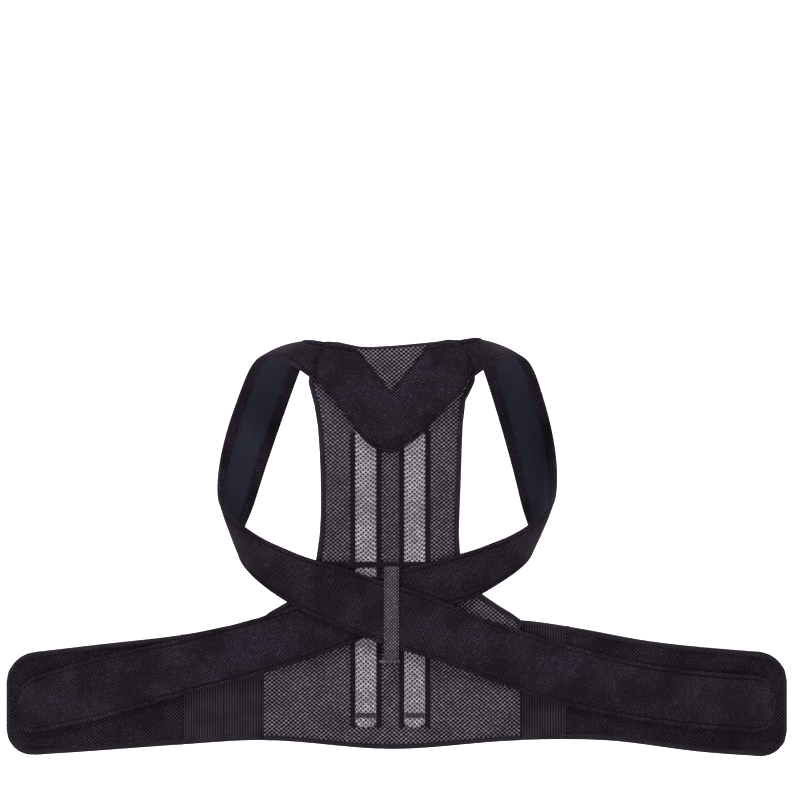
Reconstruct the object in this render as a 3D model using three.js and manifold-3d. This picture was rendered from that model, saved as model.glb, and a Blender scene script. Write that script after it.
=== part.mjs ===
// Back brace: an hourglass mesh back panel with two stays and a neoprene yoke, on a wrap belt. Two
// shoulder straps leave the yoke, loop round the arms, cross over the waist under a keeper and fasten
// with hook tape on the opposite ends of the belt.
// Millimetres. +X is the wearer's right, +Y points from the brace to the wearer, +Z is up. The origin is
// in the middle of the flat lumbar face. A piece's stand is how far its inner face is from that face,
// measured outwards, along -Y.

import * as THREE from 'three';
import { mergeVertices } from 'three/addons/utils/BufferGeometryUtils.js';
import Module from 'manifold-3d';

const { lerp, smoothstep, clamp } = THREE.MathUtils;

// Driving dimensions
const GAP = 0.3; // between two layers that touch
const SEAM_X = 147; // where the back panel meets the elastic panels
const LEFT_WING_X = 239; // where the left elastic panel meets its wing
const RIGHT_WING_X = 200;
const LEFT_END_X = 446; // the belt's left end
const RIGHT_END_X = 457;
const FREE_X = 330; // where a strap's loose tail starts
const LEFT_TAIL_X = 446; // where the left strap's tail ends, on the right wing
const RIGHT_TAIL_X = 438;
const JOINT_GAP = 0.8; // between two pieces that fold against each other
const WING_SLOPE = 0.25; // how steeply the belt's ends run forwards

const PANEL_TOP_Z = 383;
const BELT_TOP_Z = 62; // below this the back panel is as wide as the belt section
const SPINE_BULGE = 22; // how far the upper back stands out behind the lumbar face
const SPINE_START_Z = 90;
const SPINE_PEAK_Z = 320;

const LINING = 1.5;
const CORE = 3.5;
const MESH = 2;
const ELASTIC = 3;
const NEOPRENE = 4;
const STRAP = 3;
const YOKE = 3;
const TAPE = 0.8;
const BINDING_WIDTH = 2.8;

const STAY_X = [-30, 26]; // the stays' centre lines
const STAY_WIDTH = 23;
const STAY_THICKNESS = 2;
const STAY_Z = [-54, 292];
const STAY_CORNER = 7.5;
const STAY_ROWS = 40;
const POCKET_MARGIN = 1.5;
const POCKET_FLOOR = 0.8;
const CHANNEL = { tape: 5, barZ: -44, barRise: 1, room: 1, topGap: 2, rows: 20 };

const LOOP_FOOT_X = 102; // where the loops meet the waist
const LOOP_FOOT_Z = [92, 116, 141];
const LOOP_CUT = 2; // half the gap at a shoulder loop's two sewn ends
const LOOP_TAPER = { amount: 0.1, z: 100, rise: 280 }; // how the right loop narrows towards the waist
const LOOP_LIFT = 13; // how much higher the right loop meets the waist
const LOOP_SHIFT = 3; // how much further out the right loop leaves the yoke
const LINING_GAP = 1; // between a twisted strap and its lining
const LOOP_ENDS = 0.25; // the share of a loop's stations that bends to meet each sewn end
const LOOP_GRID = { columns: 5, rows: 44, inset: 1 }; // inset counts the bare columns beside the lining
const LOOP_STEP = 1e-3; // how far apart a loop's slope is measured, as a share of its length
const KEEPER = { x: [-9, 8], z: [20, 138], thickness: 1.5, foot: 7, rise: 6, fall: 2 };
const HOOK = { inset: 6, thickness: 1.6, length: 56, columns: 8 };
const CORNER = { wing: 30, beltHook: 26, tail: 26, tailHook: 20 };
const SINK = { panel: [70, 115], belt: [SEAM_X + 3, SEAM_X + 45], tail: [FREE_X + 5, FREE_X + 40] };
const STRAP_GRID = { crossing: 20, side: 6, tail: 12, rows: 4 };
const WING_COLUMNS = 14;

// Layers, as distances outwards from the lumbar face
const CORE_STAND = LINING + GAP;
const MESH_STAND = CORE_STAND + CORE + GAP;
const PANEL_DEPTH = MESH_STAND + MESH;
const TRIM_STAND = PANEL_DEPTH + GAP;
const RIGHT_STRAP_STAND = TRIM_STAND + TAPE + GAP;
const LEFT_STRAP_STAND = RIGHT_STRAP_STAND + STRAP + GAP;
const KEEPER_STAND = LEFT_STRAP_STAND + STRAP + GAP;
const RUN_STAND = NEOPRENE + 2 * GAP;
const TAIL_STAND = RUN_STAND + HOOK.thickness + GAP;

// A smooth function through a few pairs of position and value.
function through(pairs) {
  const places = pairs.map((pair) => pair[0]);
  const values = pairs.map((pair) => pair[1]);
  const track = new THREE.CubicInterpolant(places, values, 1);
  return (place) => track.evaluate(place)[0];
}

// Outlines, each a height for a distance along X or a distance along X for a height
const neck = through([[-90, 374], [-78, 385], [-52, 383], [-37, 380], [0, 381], [46, 385], [78, 387],
  [92, 376]]);
const yokeLow = through([[-90, 346], [-70, 327], [-50, 301], [-30, 275], [-11, 263], [5, 263], [14, 269],
  [37, 285], [56, 307], [79, 330], [92, 346]]);
const panelLeft = through([[62, -147], [70, -146], [80, -133], [88, -116], [100, -98], [116, -89], [140, -84],
  [172, -79.5], [230, -78.5], [270, -80], [305, -83], [328, -87], [346, -91.5], [360, -93], [383, -88]]);
const panelRight = through([[62, 147], [68, 146], [76, 133], [94, 105], [108, 89], [130, 79], [155, 74],
  [178, 74], [236, 76], [270, 77], [305, 79], [328, 83], [346, 91], [360, 93], [383, 89]]);
const beltTop = through([[-446, 22], [-333, 37], [-239, 49], [-147, 66], [147, 66], [200, 59], [302, 40],
  [457, 23]]);
const beltLow = through([[-446, -90], [-386, -85], [-245, -72], [-147, -66], [0, -76], [147, -66], [247, -67],
  [361, -83], [457, -92]]);
const leftStrapTop = through([[-102, 141], [-66, 133], [-16, 116], [44, 97], [108, 71], [201, 41], [297, 17],
  [389, 5], [446, 1]]);
const leftStrapLow = through([[-102, 80], [-62, 62], [-5, 40], [59, 21], [121, -3], [192, -26], [297, -49],
  [415, -63], [446, -65]]);
const rightStrapTop = through([[-446, -8], [-416, 1], [-344, 24], [-254, 45], [-152, 73], [-77, 97],
  [-20, 119], [9, 128], [53, 138], [102, 154]]);
const rightStrapLow = through([[-446, -70], [-411, -63], [-344, -48], [-254, -21], [-152, 7], [-80, 30],
  [-24, 52], [30, 75], [60, 85], [102, 94]]);

// How far the upper back stands out at a height: a half wave that starts above the flat lumbar face.
function spine(z) {
  const turn = Math.max(0, z - SPINE_START_Z) / (SPINE_PEAK_Z - SPINE_START_Z);
  return SPINE_BULGE * Math.sin((turn * Math.PI) / 2) ** 2;
}

// How far the belt curves forwards: a parabola from the seam, and straight beyond the strap's tail.
function wrap(x) {
  const reach = FREE_X - SEAM_X;
  const beyond = Math.max(0, Math.abs(x) - SEAM_X);
  const bend = Math.min(beyond, reach);
  return WING_SLOPE * (bend ** 2 / (2 * reach) + beyond - bend);
}

const onBack = (depth) => (x, z) => spine(z) - wrap(x) + depth;

// How far an outline draws in at a distance from its end, for a corner of the given radius.
function corner(distance, radius) {
  const left = radius - clamp(distance, 0, radius);
  return radius - Math.sqrt(radius ** 2 - left ** 2);
}

// A closed box of columns by rows, one cell thick, with each point moved to where point(u, v, outer) says.
function warped(columns, rows, point) {
  const box = new THREE.BoxGeometry(1, 1, 1, columns, 1, rows);
  box.deleteAttribute('normal');
  box.deleteAttribute('uv');
  box.clearGroups();
  const solid = mergeVertices(box);
  const places = solid.attributes.position;
  for (let i = 0; i < places.count; i += 1) {
    const moved = point(places.getX(i) + 0.5, places.getZ(i) + 0.5, places.getY(i) < 0);
    places.setXYZ(i, moved.x, moved.y, moved.z);
  }
  solid.computeVertexNormals();
  return solid;
}

// A layer of cloth: place(u, v) gives its outline's [x, z] and stand(x, z) its inner face.
function layer(columns, rows, place, stand, thickness) {
  return warped(columns, rows, (u, v, outer) => {
    const [x, z] = place(u, v);
    return new THREE.Vector3(x, -stand(x, z) - (outer ? thickness : 0), z);
  });
}

// A layer between two edges that are functions of x, with its corners rounded at an end.
function band(from, to, low, top, stand, thickness, { columns = 8, rows = 2, end = 0, radius = 0 } = {}) {
  const place = (u, v) => {
    const crowd = end === 0 ? u : end > 0 ? Math.sin((u * Math.PI) / 2) : 1 - Math.cos((u * Math.PI) / 2);
    const x = lerp(from, to, crowd);
    const inset = radius > 0 ? corner(Math.abs((end > 0 ? to : from) - x), radius) : 0;
    return [x, lerp(low(x) + inset, top(x) - inset, v)];
  };
  return layer(columns, rows, place, stand, thickness);
}

// A bar of binding beside an outline, whose points run with the cloth on their left.
function binding(points, stand, thickness) {
  const last = points.length - 1;
  const side = (i, offset) => {
    const before = points[Math.max(i - 1, 0)];
    const after = points[Math.min(i + 1, last)];
    const along = new THREE.Vector2(after[0] - before[0], after[1] - before[1]).normalize();
    return [points[i][0] + along.y * offset, points[i][1] - along.x * offset];
  };
  const place = (u, v) => side(Math.round(v * last), lerp(GAP, GAP + BINDING_WIDTH, u));
  return layer(1, last, place, stand, thickness);
}

// Evenly spaced numbers from a first to a last one.
function steps(first, last, count) {
  return Array.from({ length: count + 1 }, (_, i) => lerp(first, last, i / count));
}

const wasm = await Module();
wasm.setup();

function toManifold(geometry) {
  const vertProperties = new Float32Array(geometry.attributes.position.array);
  return new wasm.Manifold(new wasm.Mesh({ numProp: 3, vertProperties, triVerts: geometry.index.array }));
}

function fromManifold(solid) {
  const mesh = solid.getMesh();
  const geometry = new THREE.BufferGeometry();
  geometry.setAttribute('position', new THREE.BufferAttribute(mesh.vertProperties, 3));
  geometry.setIndex(new THREE.BufferAttribute(mesh.triVerts, 1));
  geometry.computeVertexNormals();
  return geometry;
}

const finishes = {
  neoprene: new THREE.MeshStandardMaterial({ color: 0x29242d, roughness: 0.85, metalness: 0 }),
  mesh: new THREE.MeshStandardMaterial({ color: 0x2e2a31, roughness: 0.95, metalness: 0 }),
  elastic: new THREE.MeshStandardMaterial({ color: 0x211e25, roughness: 0.8, metalness: 0 }),
  lining: new THREE.MeshStandardMaterial({ color: 0x2b2d38, roughness: 0.9, metalness: 0 }),
  binding: new THREE.MeshStandardMaterial({ color: 0x1d1b20, roughness: 0.75, metalness: 0 }),
  foam: new THREE.MeshStandardMaterial({ color: 0x4a484e, roughness: 1, metalness: 0 }),
  stay: new THREE.MeshStandardMaterial({ color: 0xb3adb8, roughness: 0.4, metalness: 0.6 }),
  hook: new THREE.MeshStandardMaterial({ color: 0x18161a, roughness: 0.6, metalness: 0 }),
};

const brace = new THREE.Group();

function add(group, name, geometry, finish) {
  const mesh = new THREE.Mesh(geometry, finishes[finish]);
  mesh.name = name;
  group.add(mesh);
}

// Back panel: lining, spacer core with a pocket for each stay, and outer mesh, all on one outline
const PANEL_GRID = { columns: 14, rows: 20, foot: 4 }; // foot counts the rows that lie in the belt
const PANEL_CROWD = 1.6; // how much closer the rows are at the belt
const NECK_LATE = 6; // how late in the rows the neck's curve comes in

function panelPlace(u, v) {
  const foot = PANEL_GRID.foot / PANEL_GRID.rows;
  if (v < foot) {
    const x = lerp(-SEAM_X, SEAM_X, u);
    return [x, lerp(beltLow(x), BELT_TOP_Z, v / foot)];
  }
  const rise = (v - foot) / (1 - foot);
  const z = lerp(BELT_TOP_Z, PANEL_TOP_Z, rise ** PANEL_CROWD);
  const x = lerp(panelLeft(z), panelRight(z), u);
  return [x, z + (neck(x) - PANEL_TOP_Z) * rise ** NECK_LATE];
}

function stayPlace(centre, margin) {
  return (u, v) => {
    const z = lerp(STAY_Z[0] - margin, STAY_Z[1] + margin, v);
    const end = Math.min(z - STAY_Z[0] + margin, STAY_Z[1] + margin - z);
    const half = STAY_WIDTH / 2 + margin - corner(end, STAY_CORNER);
    return [centre + lerp(-half, half, u), z];
  };
}

function panelLayer(stand, thickness) {
  return layer(PANEL_GRID.columns, PANEL_GRID.rows, panelPlace, onBack(stand), thickness);
}

function makeBackPanel(group) {
  add(group, 'back_lining', panelLayer(0, LINING), 'lining');
  let core = toManifold(panelLayer(CORE_STAND, CORE));
  for (const centre of STAY_X) {
    const place = stayPlace(centre, POCKET_MARGIN);
    const pocket = layer(1, STAY_ROWS, place, onBack(CORE_STAND + POCKET_FLOOR), CORE);
    core = core.subtract(toManifold(pocket));
  }
  add(group, 'spacer_core', fromManifold(core), 'foam');
  add(group, 'back_mesh_panel', panelLayer(MESH_STAND, MESH), 'mesh');
  const names = ['left', 'right'];
  STAY_X.forEach((centre, i) => {
    const stand = onBack(CORE_STAND + POCKET_FLOOR + GAP);
    add(group, `${names[i]}_stay`, layer(1, STAY_ROWS, stayPlace(centre, 0), stand, STAY_THICKNESS), 'stay');
    add(group, `${names[i]}_channel_tape`, makeChannelTape(centre), 'binding');
  });
}

// The tape sewn down both sides of a stay and across below it: a long U.
function makeChannelTape(centre) {
  const half = STAY_WIDTH / 2 + CHANNEL.room;
  const outer = half + CHANNEL.tape;
  const leg = (side) => {
    const edges = [centre + side * half, centre + side * outer].sort((a, b) => a - b);
    return (u, v) => {
      const x = lerp(edges[0], edges[1], u);
      return [x, lerp(CHANNEL.barZ, yokeLow(x) - CHANNEL.topGap, v)];
    };
  };
  const bar = (u, v) => {
    const x = centre + lerp(-outer, outer, u);
    return [x, CHANNEL.barZ + lerp(-CHANNEL.tape, CHANNEL.barRise, v)];
  };
  const legs = [-1, 1].map((side) => toManifold(layer(1, CHANNEL.rows, leg(side), onBack(TRIM_STAND), TAPE)));
  const foot = toManifold(layer(1, 1, bar, onBack(TRIM_STAND), TAPE));
  return fromManifold(foot.add(legs[0]).add(legs[1]));
}

// Yoke: a neoprene V with rounded shoulders, and a mesh triangle in the notch at the neck
const NOTCH = { x: -1, z: 322, slope: 1.1 };
const YOKE_X = [-90, 92];
const INSERT_X = [-46, 44];
const YOKE_GRID = { columns: 28, rows: 3 };
const INSERT_GRID = { columns: 18, rows: 2 };
const notch = (x) => NOTCH.z + Math.abs(x - NOTCH.x) * NOTCH.slope;

function yokePlace([from, to], low, top) {
  return (u, v) => {
    const x = u < 0.5 ? lerp(from, NOTCH.x, 2 * u) : lerp(NOTCH.x, to, 2 * u - 1);
    return [x, lerp(low(x), top(x), v)];
  };
}

function makeYoke(group) {
  const yoke = yokePlace(YOKE_X, yokeLow, (x) => Math.min(neck(x), notch(x)));
  const pad = layer(YOKE_GRID.columns, YOKE_GRID.rows, yoke, onBack(TRIM_STAND), YOKE);
  add(group, 'yoke', pad, 'neoprene');
  const insert = yokePlace(INSERT_X, (x) => notch(x) + 2 * GAP, (x) => neck(x) - GAP);
  const triangle = layer(INSERT_GRID.columns, INSERT_GRID.rows, insert, onBack(TRIM_STAND), MESH);
  add(group, 'yoke_mesh_insert', triangle, 'mesh');
}

function makeBackTrim(group) {
  const { columns, rows, foot } = PANEL_GRID;
  const heights = steps((foot + 2) / rows, 1 - 2 / rows, rows - foot - 4);
  const widths = steps(0, 1, columns);
  const edges = {
    neck_binding: widths.slice(1, -1).reverse().map((u) => panelPlace(u, 1)),
    right_side_binding: heights.map((v) => panelPlace(1, v)),
    left_side_binding: heights.reverse().map((v) => panelPlace(0, v)),
    hem_binding: widths.map((u) => panelPlace(u, 0)),
  };
  for (const [name, points] of Object.entries(edges)) {
    add(group, name, binding(points, onBack(0), PANEL_DEPTH), 'binding');
  }
}

// Strap keeper: a strip over both crossed straps, with a foot sewn to the panel at each end
function makeKeeper(group) {
  const [low, high] = KEEPER.z;
  const face = TRIM_STAND;
  const out = KEEPER_STAND;
  const lowBend = low + KEEPER.foot;
  const highBend = high - KEEPER.foot;
  const path = [[low, face], [lowBend, face], [lowBend + KEEPER.rise, out], [highBend - KEEPER.fall, out],
    [highBend, face], [high, face]].map(([z, stand]) => [z, stand + spine(z)]);
  const outer = path.map(([z, stand], i) => {
    const spread = i === 1 || i === 2 ? -1 : i === 3 || i === 4 ? 1 : 0;
    return [z + spread * KEEPER.thickness, stand + KEEPER.thickness];
  });
  const corners = [...path, ...outer.reverse()];
  const shape = new THREE.Shape(corners.map(([z, stand]) => new THREE.Vector2(z, stand)));
  const width = KEEPER.x[1] - KEEPER.x[0];
  const strip = new THREE.ExtrudeGeometry(shape, { depth: width, bevelEnabled: false });
  // The section's axes are height and stand: turn them to +Z and -Y, and the depth to +X.
  const turn = new THREE.Matrix4().set(0, 0, 1, KEEPER.x[0], 0, -1, 0, 0, 1, 0, 0, 0, 0, 0, 0, 1);
  strip.applyMatrix4(turn);
  add(group, 'strap_keeper', strip, 'mesh');
}

// Straps on the back and belt
function strapStand(depth) {
  return (x, z) => {
    const onPanel = lerp(depth, TRIM_STAND, smoothstep(Math.abs(x), ...SINK.panel));
    const onBelt = lerp(onPanel, RUN_STAND, smoothstep(Math.abs(x), ...SINK.belt));
    return onBelt + spine(z) - wrap(x);
  };
}

function tailStand(x, z) {
  const rise = smoothstep(Math.abs(x), ...SINK.tail);
  return lerp(RUN_STAND, TAIL_STAND, rise) + spine(z) - wrap(x);
}

// A strap's piece between two distances from the middle, on the side given by its sign.
function strapPiece(side, from, to, edges, stand, options) {
  const ends = side > 0 ? [from, to] : [-to, -from];
  return band(ends[0], ends[1], edges.low, edges.top, stand, STRAP, options);
}

const leftEdges = { low: leftStrapLow, top: leftStrapTop };
const rightEdges = { low: rightStrapLow, top: rightStrapTop };

// Where the left loop meets the waist, beside the end of its strap's crossing.
function loopFoot(z) {
  return [-LOOP_FOOT_X - LOOP_CUT, -LEFT_STRAP_STAND - STRAP / 2 - spine(z), z];
}

// Shoulder loops: stations along the left strap, each with its neck edge and its outer edge
const loopStations = [
  [[-93, -8, 390], [-97, -27, 353]],
  [[-97, 2, 392], [-118, -16, 366]],
  [[-101, 16, 390], [-139, 3, 373]],
  [[-100, 36, 384], [-156, 25, 374]],
  [[-103, 55, 368], [-166, 47, 362]],
  [[-111, 69, 349], [-173, 63, 344]],
  [[-120, 80, 324], [-182, 75, 321]],
  [[-132, 87, 291], [-193, 82, 290]],
  [[-144, 90, 256], [-201, 74, 256]],
  [[-156, 87, 220], [-203, 55, 231]],
  [[-165, 78, 188], [-200, 38, 214]],
  [[-180, 59, 156], [-192, 23, 200]],
  [[-178, 40, 136], [-172, 8, 180]],
  [[-163, 20, 121], [-146, -3, 162]],
  [[-144, 2, 105], [-119, -11, 151]],
  [loopFoot(LOOP_FOOT_Z[0]), loopFoot(LOOP_FOOT_Z[2])],
];

// The right loop mirrors the left one, a little narrower and higher towards the waist.
function mirrored([x, y, z], share) {
  const width = 1 - LOOP_TAPER.amount * (1 - clamp((z - LOOP_TAPER.z) / LOOP_TAPER.rise, 0, 1));
  const low = smoothstep(share, 1 - LOOP_ENDS, 1);
  const sink = LEFT_STRAP_STAND - RIGHT_STRAP_STAND;
  const high = 1 - smoothstep(share, 0, LOOP_ENDS);
  return [-x * width + high * LOOP_SHIFT, y + low * sink, z + low * LOOP_LIFT];
}

function loopEdge(side, which) {
  const last = loopStations.length - 1;
  const points = loopStations.map((station, i) => {
    return side < 0 ? station[which] : mirrored(station[which], i / last);
  });
  return new THREE.CatmullRomCurve3(points.map((point) => new THREE.Vector3(...point)));
}

// A ribbon between a loop's two edges: inner and outer are its faces' distances from the middle surface.
function loopRibbon(side, inset, inner, outer, columns) {
  const first = loopEdge(side, side < 0 ? 1 : 0);
  const second = loopEdge(side, side < 0 ? 0 : 1);
  return warped(columns, LOOP_GRID.rows, (u, v, isOuter) => {
    const a = first.getPoint(v);
    const b = second.getPoint(v);
    const [early, late] = [Math.max(v - LOOP_STEP, 0), Math.min(v + LOOP_STEP, 1)];
    const before = first.getPoint(early).add(second.getPoint(early));
    const after = first.getPoint(late).add(second.getPoint(late));
    const across = b.clone().sub(a);
    const normal = across.clone().cross(after.sub(before)).normalize();
    const middle = a.addScaledVector(across, lerp(inset, 1 - inset, u));
    return middle.addScaledVector(normal, isOuter ? outer : inner);
  });
}

function makeLoop(side, name) {
  const group = new THREE.Group();
  const half = STRAP / 2;
  const { columns, inset } = LOOP_GRID;
  add(group, `${name}_strap_loop`, loopRibbon(side, 0, -half, half, columns), 'neoprene');
  const face = -half - LINING_GAP;
  const lining = loopRibbon(side, inset / columns, face - TAPE, face, columns - 2 * inset);
  add(group, `${name}_strap_lining`, lining, 'lining');
  return group;
}

// The straps lie in two layers where they cross, and each sinks to the panel on its way to the belt.
function makeCrossing(group) {
  const options = { columns: STRAP_GRID.crossing, rows: STRAP_GRID.rows };
  const leftStand = (x, z) => (x > 0 ? strapStand(LEFT_STRAP_STAND)(x, z) : LEFT_STRAP_STAND + spine(z));
  const leftStart = -LOOP_FOOT_X + LOOP_CUT;
  const left = band(leftStart, SEAM_X, leftStrapLow, leftStrapTop, leftStand, STRAP, options);
  add(group, 'left_strap_crossing', left, 'neoprene');
  const rightStand = (x, z) => (x < 0 ? strapStand(RIGHT_STRAP_STAND)(x, z) : RIGHT_STRAP_STAND + spine(z));
  const rightStart = mirrored([leftStart, 0, LOOP_FOOT_Z[1]], 1)[0];
  const right = band(-SEAM_X, rightStart, rightStrapLow, rightStrapTop, rightStand, STRAP, options);
  add(group, 'right_strap_crossing', right, 'neoprene');
}

// Belt: on each side an elastic panel, a neoprene wing with a bound edge, and the other side's strap
function wingOutline(side, from, to) {
  const along = steps(0, 1, WING_COLUMNS).map((t) => lerp(from, to, Math.sin((t * Math.PI) / 2)));
  const low = along.map((d) => [side * d, beltLow(side * d) + corner(to - d, CORNER.wing)]);
  const top = along.map((d) => [side * d, beltTop(side * d) - corner(to - d, CORNER.wing)]);
  return side > 0 ? [...low, ...top.reverse()] : [...top, ...low.reverse()];
}

function makeSide(side, name, wingX) {
  const group = new THREE.Group();
  const from = SEAM_X + JOINT_GAP;
  const to = wingX - JOINT_GAP / 2;
  const ends = side > 0 ? [from, to] : [-to, -from];
  const strapName = side > 0 ? 'left' : 'right';
  const edges = side > 0 ? leftEdges : rightEdges;
  const panel = band(ends[0], ends[1], beltLow, beltTop, onBack(0), ELASTIC, { columns: STRAP_GRID.side });
  add(group, `${name}_elastic_panel`, panel, 'elastic');
  const strap = strapPiece(side, from, to, edges, strapStand(TRIM_STAND), { columns: STRAP_GRID.side });
  add(group, `${strapName}_strap_side`, strap, 'neoprene');
  return group;
}

function makeWing(side, name, wingX, endX) {
  const group = new THREE.Group();
  const from = wingX + JOINT_GAP / 2;
  const ends = side > 0 ? [from, endX] : [-endX, -from];
  const edges = side > 0 ? leftEdges : rightEdges;
  const strapName = side > 0 ? 'left' : 'right';
  const options = { columns: WING_COLUMNS, end: side, radius: CORNER.wing };
  const panel = band(ends[0], ends[1], beltLow, beltTop, onBack(0), NEOPRENE, options);
  add(group, `${name}_wing`, panel, 'neoprene');
  const rim = binding(wingOutline(side, from, endX), onBack(0), NEOPRENE);
  add(group, `${name}_wing_binding`, rim, 'binding');
  const run = strapPiece(side, from, FREE_X, edges, strapStand(TRIM_STAND), { columns: STRAP_GRID.side });
  add(group, `${strapName}_strap_run`, run, 'neoprene');
  return group;
}

// The closing patch of hook tape on the inner face of the left wing's end.
function makeBeltHook(group) {
  const from = -LEFT_END_X + HOOK.inset;
  const to = from + HOOK.length;
  const low = (x) => beltLow(x) + HOOK.inset;
  const top = (x) => beltTop(x) - HOOK.inset;
  const stand = onBack(-GAP - HOOK.thickness);
  const options = { columns: HOOK.columns, end: -1, radius: CORNER.beltHook };
  const patch = band(from, to, low, top, stand, HOOK.thickness, options);
  add(group, 'belt_hook_patch', patch, 'hook');
}

function makeTail(side, endX) {
  const group = new THREE.Group();
  const name = side > 0 ? 'left' : 'right';
  const edges = side > 0 ? leftEdges : rightEdges;
  const from = FREE_X + JOINT_GAP;
  const options = { columns: STRAP_GRID.tail, end: side, radius: CORNER.tail };
  add(group, `${name}_strap_tail`, strapPiece(side, from, endX, edges, tailStand, options), 'neoprene');
  const low = (x) => edges.low(x) + HOOK.inset;
  const top = (x) => edges.top(x) - HOOK.inset;
  const tip = endX - HOOK.inset;
  const ends = [tip - HOOK.length, tip].map((d) => side * d).sort((a, b) => a - b);
  const stand = onBack(TAIL_STAND - GAP - HOOK.thickness);
  const hookOptions = { columns: HOOK.columns, end: side, radius: CORNER.tailHook };
  const patch = band(ends[0], ends[1], low, top, stand, HOOK.thickness, hookOptions);
  add(group, `${name}_tail_hook`, patch, 'hook');
  return group;
}

makeBackPanel(brace);
makeYoke(brace);
makeBackTrim(brace);
makeCrossing(brace);
makeKeeper(brace);
brace.add(makeLoop(-1, 'left'), makeLoop(1, 'right'));
brace.add(makeSide(-1, 'left', LEFT_WING_X), makeSide(1, 'right', RIGHT_WING_X));
const leftWing = makeWing(-1, 'left', LEFT_WING_X, LEFT_END_X);
makeBeltHook(leftWing);
brace.add(leftWing, makeWing(1, 'right', RIGHT_WING_X, RIGHT_END_X));
brace.add(makeTail(-1, RIGHT_TAIL_X), makeTail(1, LEFT_TAIL_X));

export default brace;
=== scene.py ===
"""Looks of a back brace: mesh back, neoprene yoke and straps, elastic sides and belt wings.

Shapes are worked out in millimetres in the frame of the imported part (+X the wearer's right, +Y towards the
wearer, +Z up) and become metres when a mesh is made. A piece's stand is its distance outwards, along -Y,
from the flat lumbar face.
"""

from __future__ import annotations

import logging
import math
from dataclasses import dataclass, field
from enum import Enum
from typing import Callable, Optional, Sequence

import bpy
import numpy as np
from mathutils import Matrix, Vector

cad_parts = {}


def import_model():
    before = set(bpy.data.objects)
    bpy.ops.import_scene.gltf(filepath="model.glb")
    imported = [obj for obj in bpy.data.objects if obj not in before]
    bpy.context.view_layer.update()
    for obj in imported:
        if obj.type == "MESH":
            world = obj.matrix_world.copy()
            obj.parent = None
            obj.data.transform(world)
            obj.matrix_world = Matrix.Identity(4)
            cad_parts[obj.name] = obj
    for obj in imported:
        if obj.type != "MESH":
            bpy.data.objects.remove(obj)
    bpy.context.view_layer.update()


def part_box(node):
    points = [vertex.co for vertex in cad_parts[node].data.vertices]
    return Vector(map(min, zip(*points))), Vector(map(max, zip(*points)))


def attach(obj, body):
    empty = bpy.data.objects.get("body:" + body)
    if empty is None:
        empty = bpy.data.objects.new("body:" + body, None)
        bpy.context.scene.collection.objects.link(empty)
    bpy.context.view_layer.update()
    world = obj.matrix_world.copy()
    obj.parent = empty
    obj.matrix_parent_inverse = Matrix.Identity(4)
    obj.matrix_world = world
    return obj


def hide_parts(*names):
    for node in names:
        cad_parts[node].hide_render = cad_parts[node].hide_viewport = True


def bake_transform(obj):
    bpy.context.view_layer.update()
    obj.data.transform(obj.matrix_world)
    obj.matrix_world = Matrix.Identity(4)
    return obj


LOG = logging.getLogger("back_brace")
MM = 0.001
UV_NAME = "cloth"
RIB_PITCH = 3.1
Array = np.ndarray
Curve = Callable[[Array], Array]


class Side(Enum):
    """The wearer's two sides, as signs along X."""

    LEFT = -1
    RIGHT = 1

    @property
    def word(self) -> str:
        """The side's name, as pieces spell it."""
        return self.name.lower()

    @property
    def other(self) -> "Side":
        """The opposite side."""
        return Side(-self.value)


class Slot(Enum):
    """Names of material slots; no piece here is given one."""

    NEOPRENE = "neoprene"
    MESH = "mesh"
    ELASTIC = "elastic"
    LINING = "lining"
    BINDING = "binding"
    HOOK = "hook"


# ---------------------------------------------------------------- numbers shared by the sub-assemblies


@dataclass(frozen=True)
class Layers:
    """Where each layer starts, as a stand in millimetres, and how thick it is."""

    gap: float = 0.3
    panel_outer: float = 7.6
    trim: float = 7.9
    right_strap: float = 9.0
    left_strap: float = 12.3
    keeper: float = 15.6
    run: float = 4.6
    tail: float = 6.5
    neoprene: float = 4.0
    elastic: float = 3.0
    lining: float = 1.5


@dataclass(frozen=True)
class Posture:
    """How the brace curves: the upper back stands out, and the belt's ends run forwards."""

    bulge: float = 22.0
    start_z: float = 90.0
    peak_z: float = 320.0
    seam_x: float = 147.0
    free_x: float = 330.0
    slope: float = 0.25

    def spine(self, z: Array) -> Array:
        """How far the back stands out at a height: half a wave that starts above the lumbar face."""
        turn = np.maximum(0.0, z - self.start_z) / (self.peak_z - self.start_z)
        return self.bulge * np.sin(turn * math.pi / 2) ** 2

    def wrap(self, x: Array) -> Array:
        """How far forwards the belt is: a parabola from the seam, then a straight line."""
        reach = self.free_x - self.seam_x
        beyond = np.maximum(0.0, np.abs(x) - self.seam_x)
        bend = np.minimum(beyond, reach)
        return self.slope * (bend**2 / (2 * reach) + beyond - bend)

    def face(self, x: Array, z: Array) -> Array:
        """The stand of the brace's inner face."""
        return self.spine(z) - self.wrap(x)


LAYERS = Layers()
POSTURE = Posture()


def smoothstep(value: Array, low: float, high: float) -> Array:
    """Rises from 0 at low to 1 at high with level ends: 3 t^2 - 2 t^3."""
    t = np.clip((value - low) / (high - low), 0.0, 1.0)
    return t * t * (3 - 2 * t)


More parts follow.
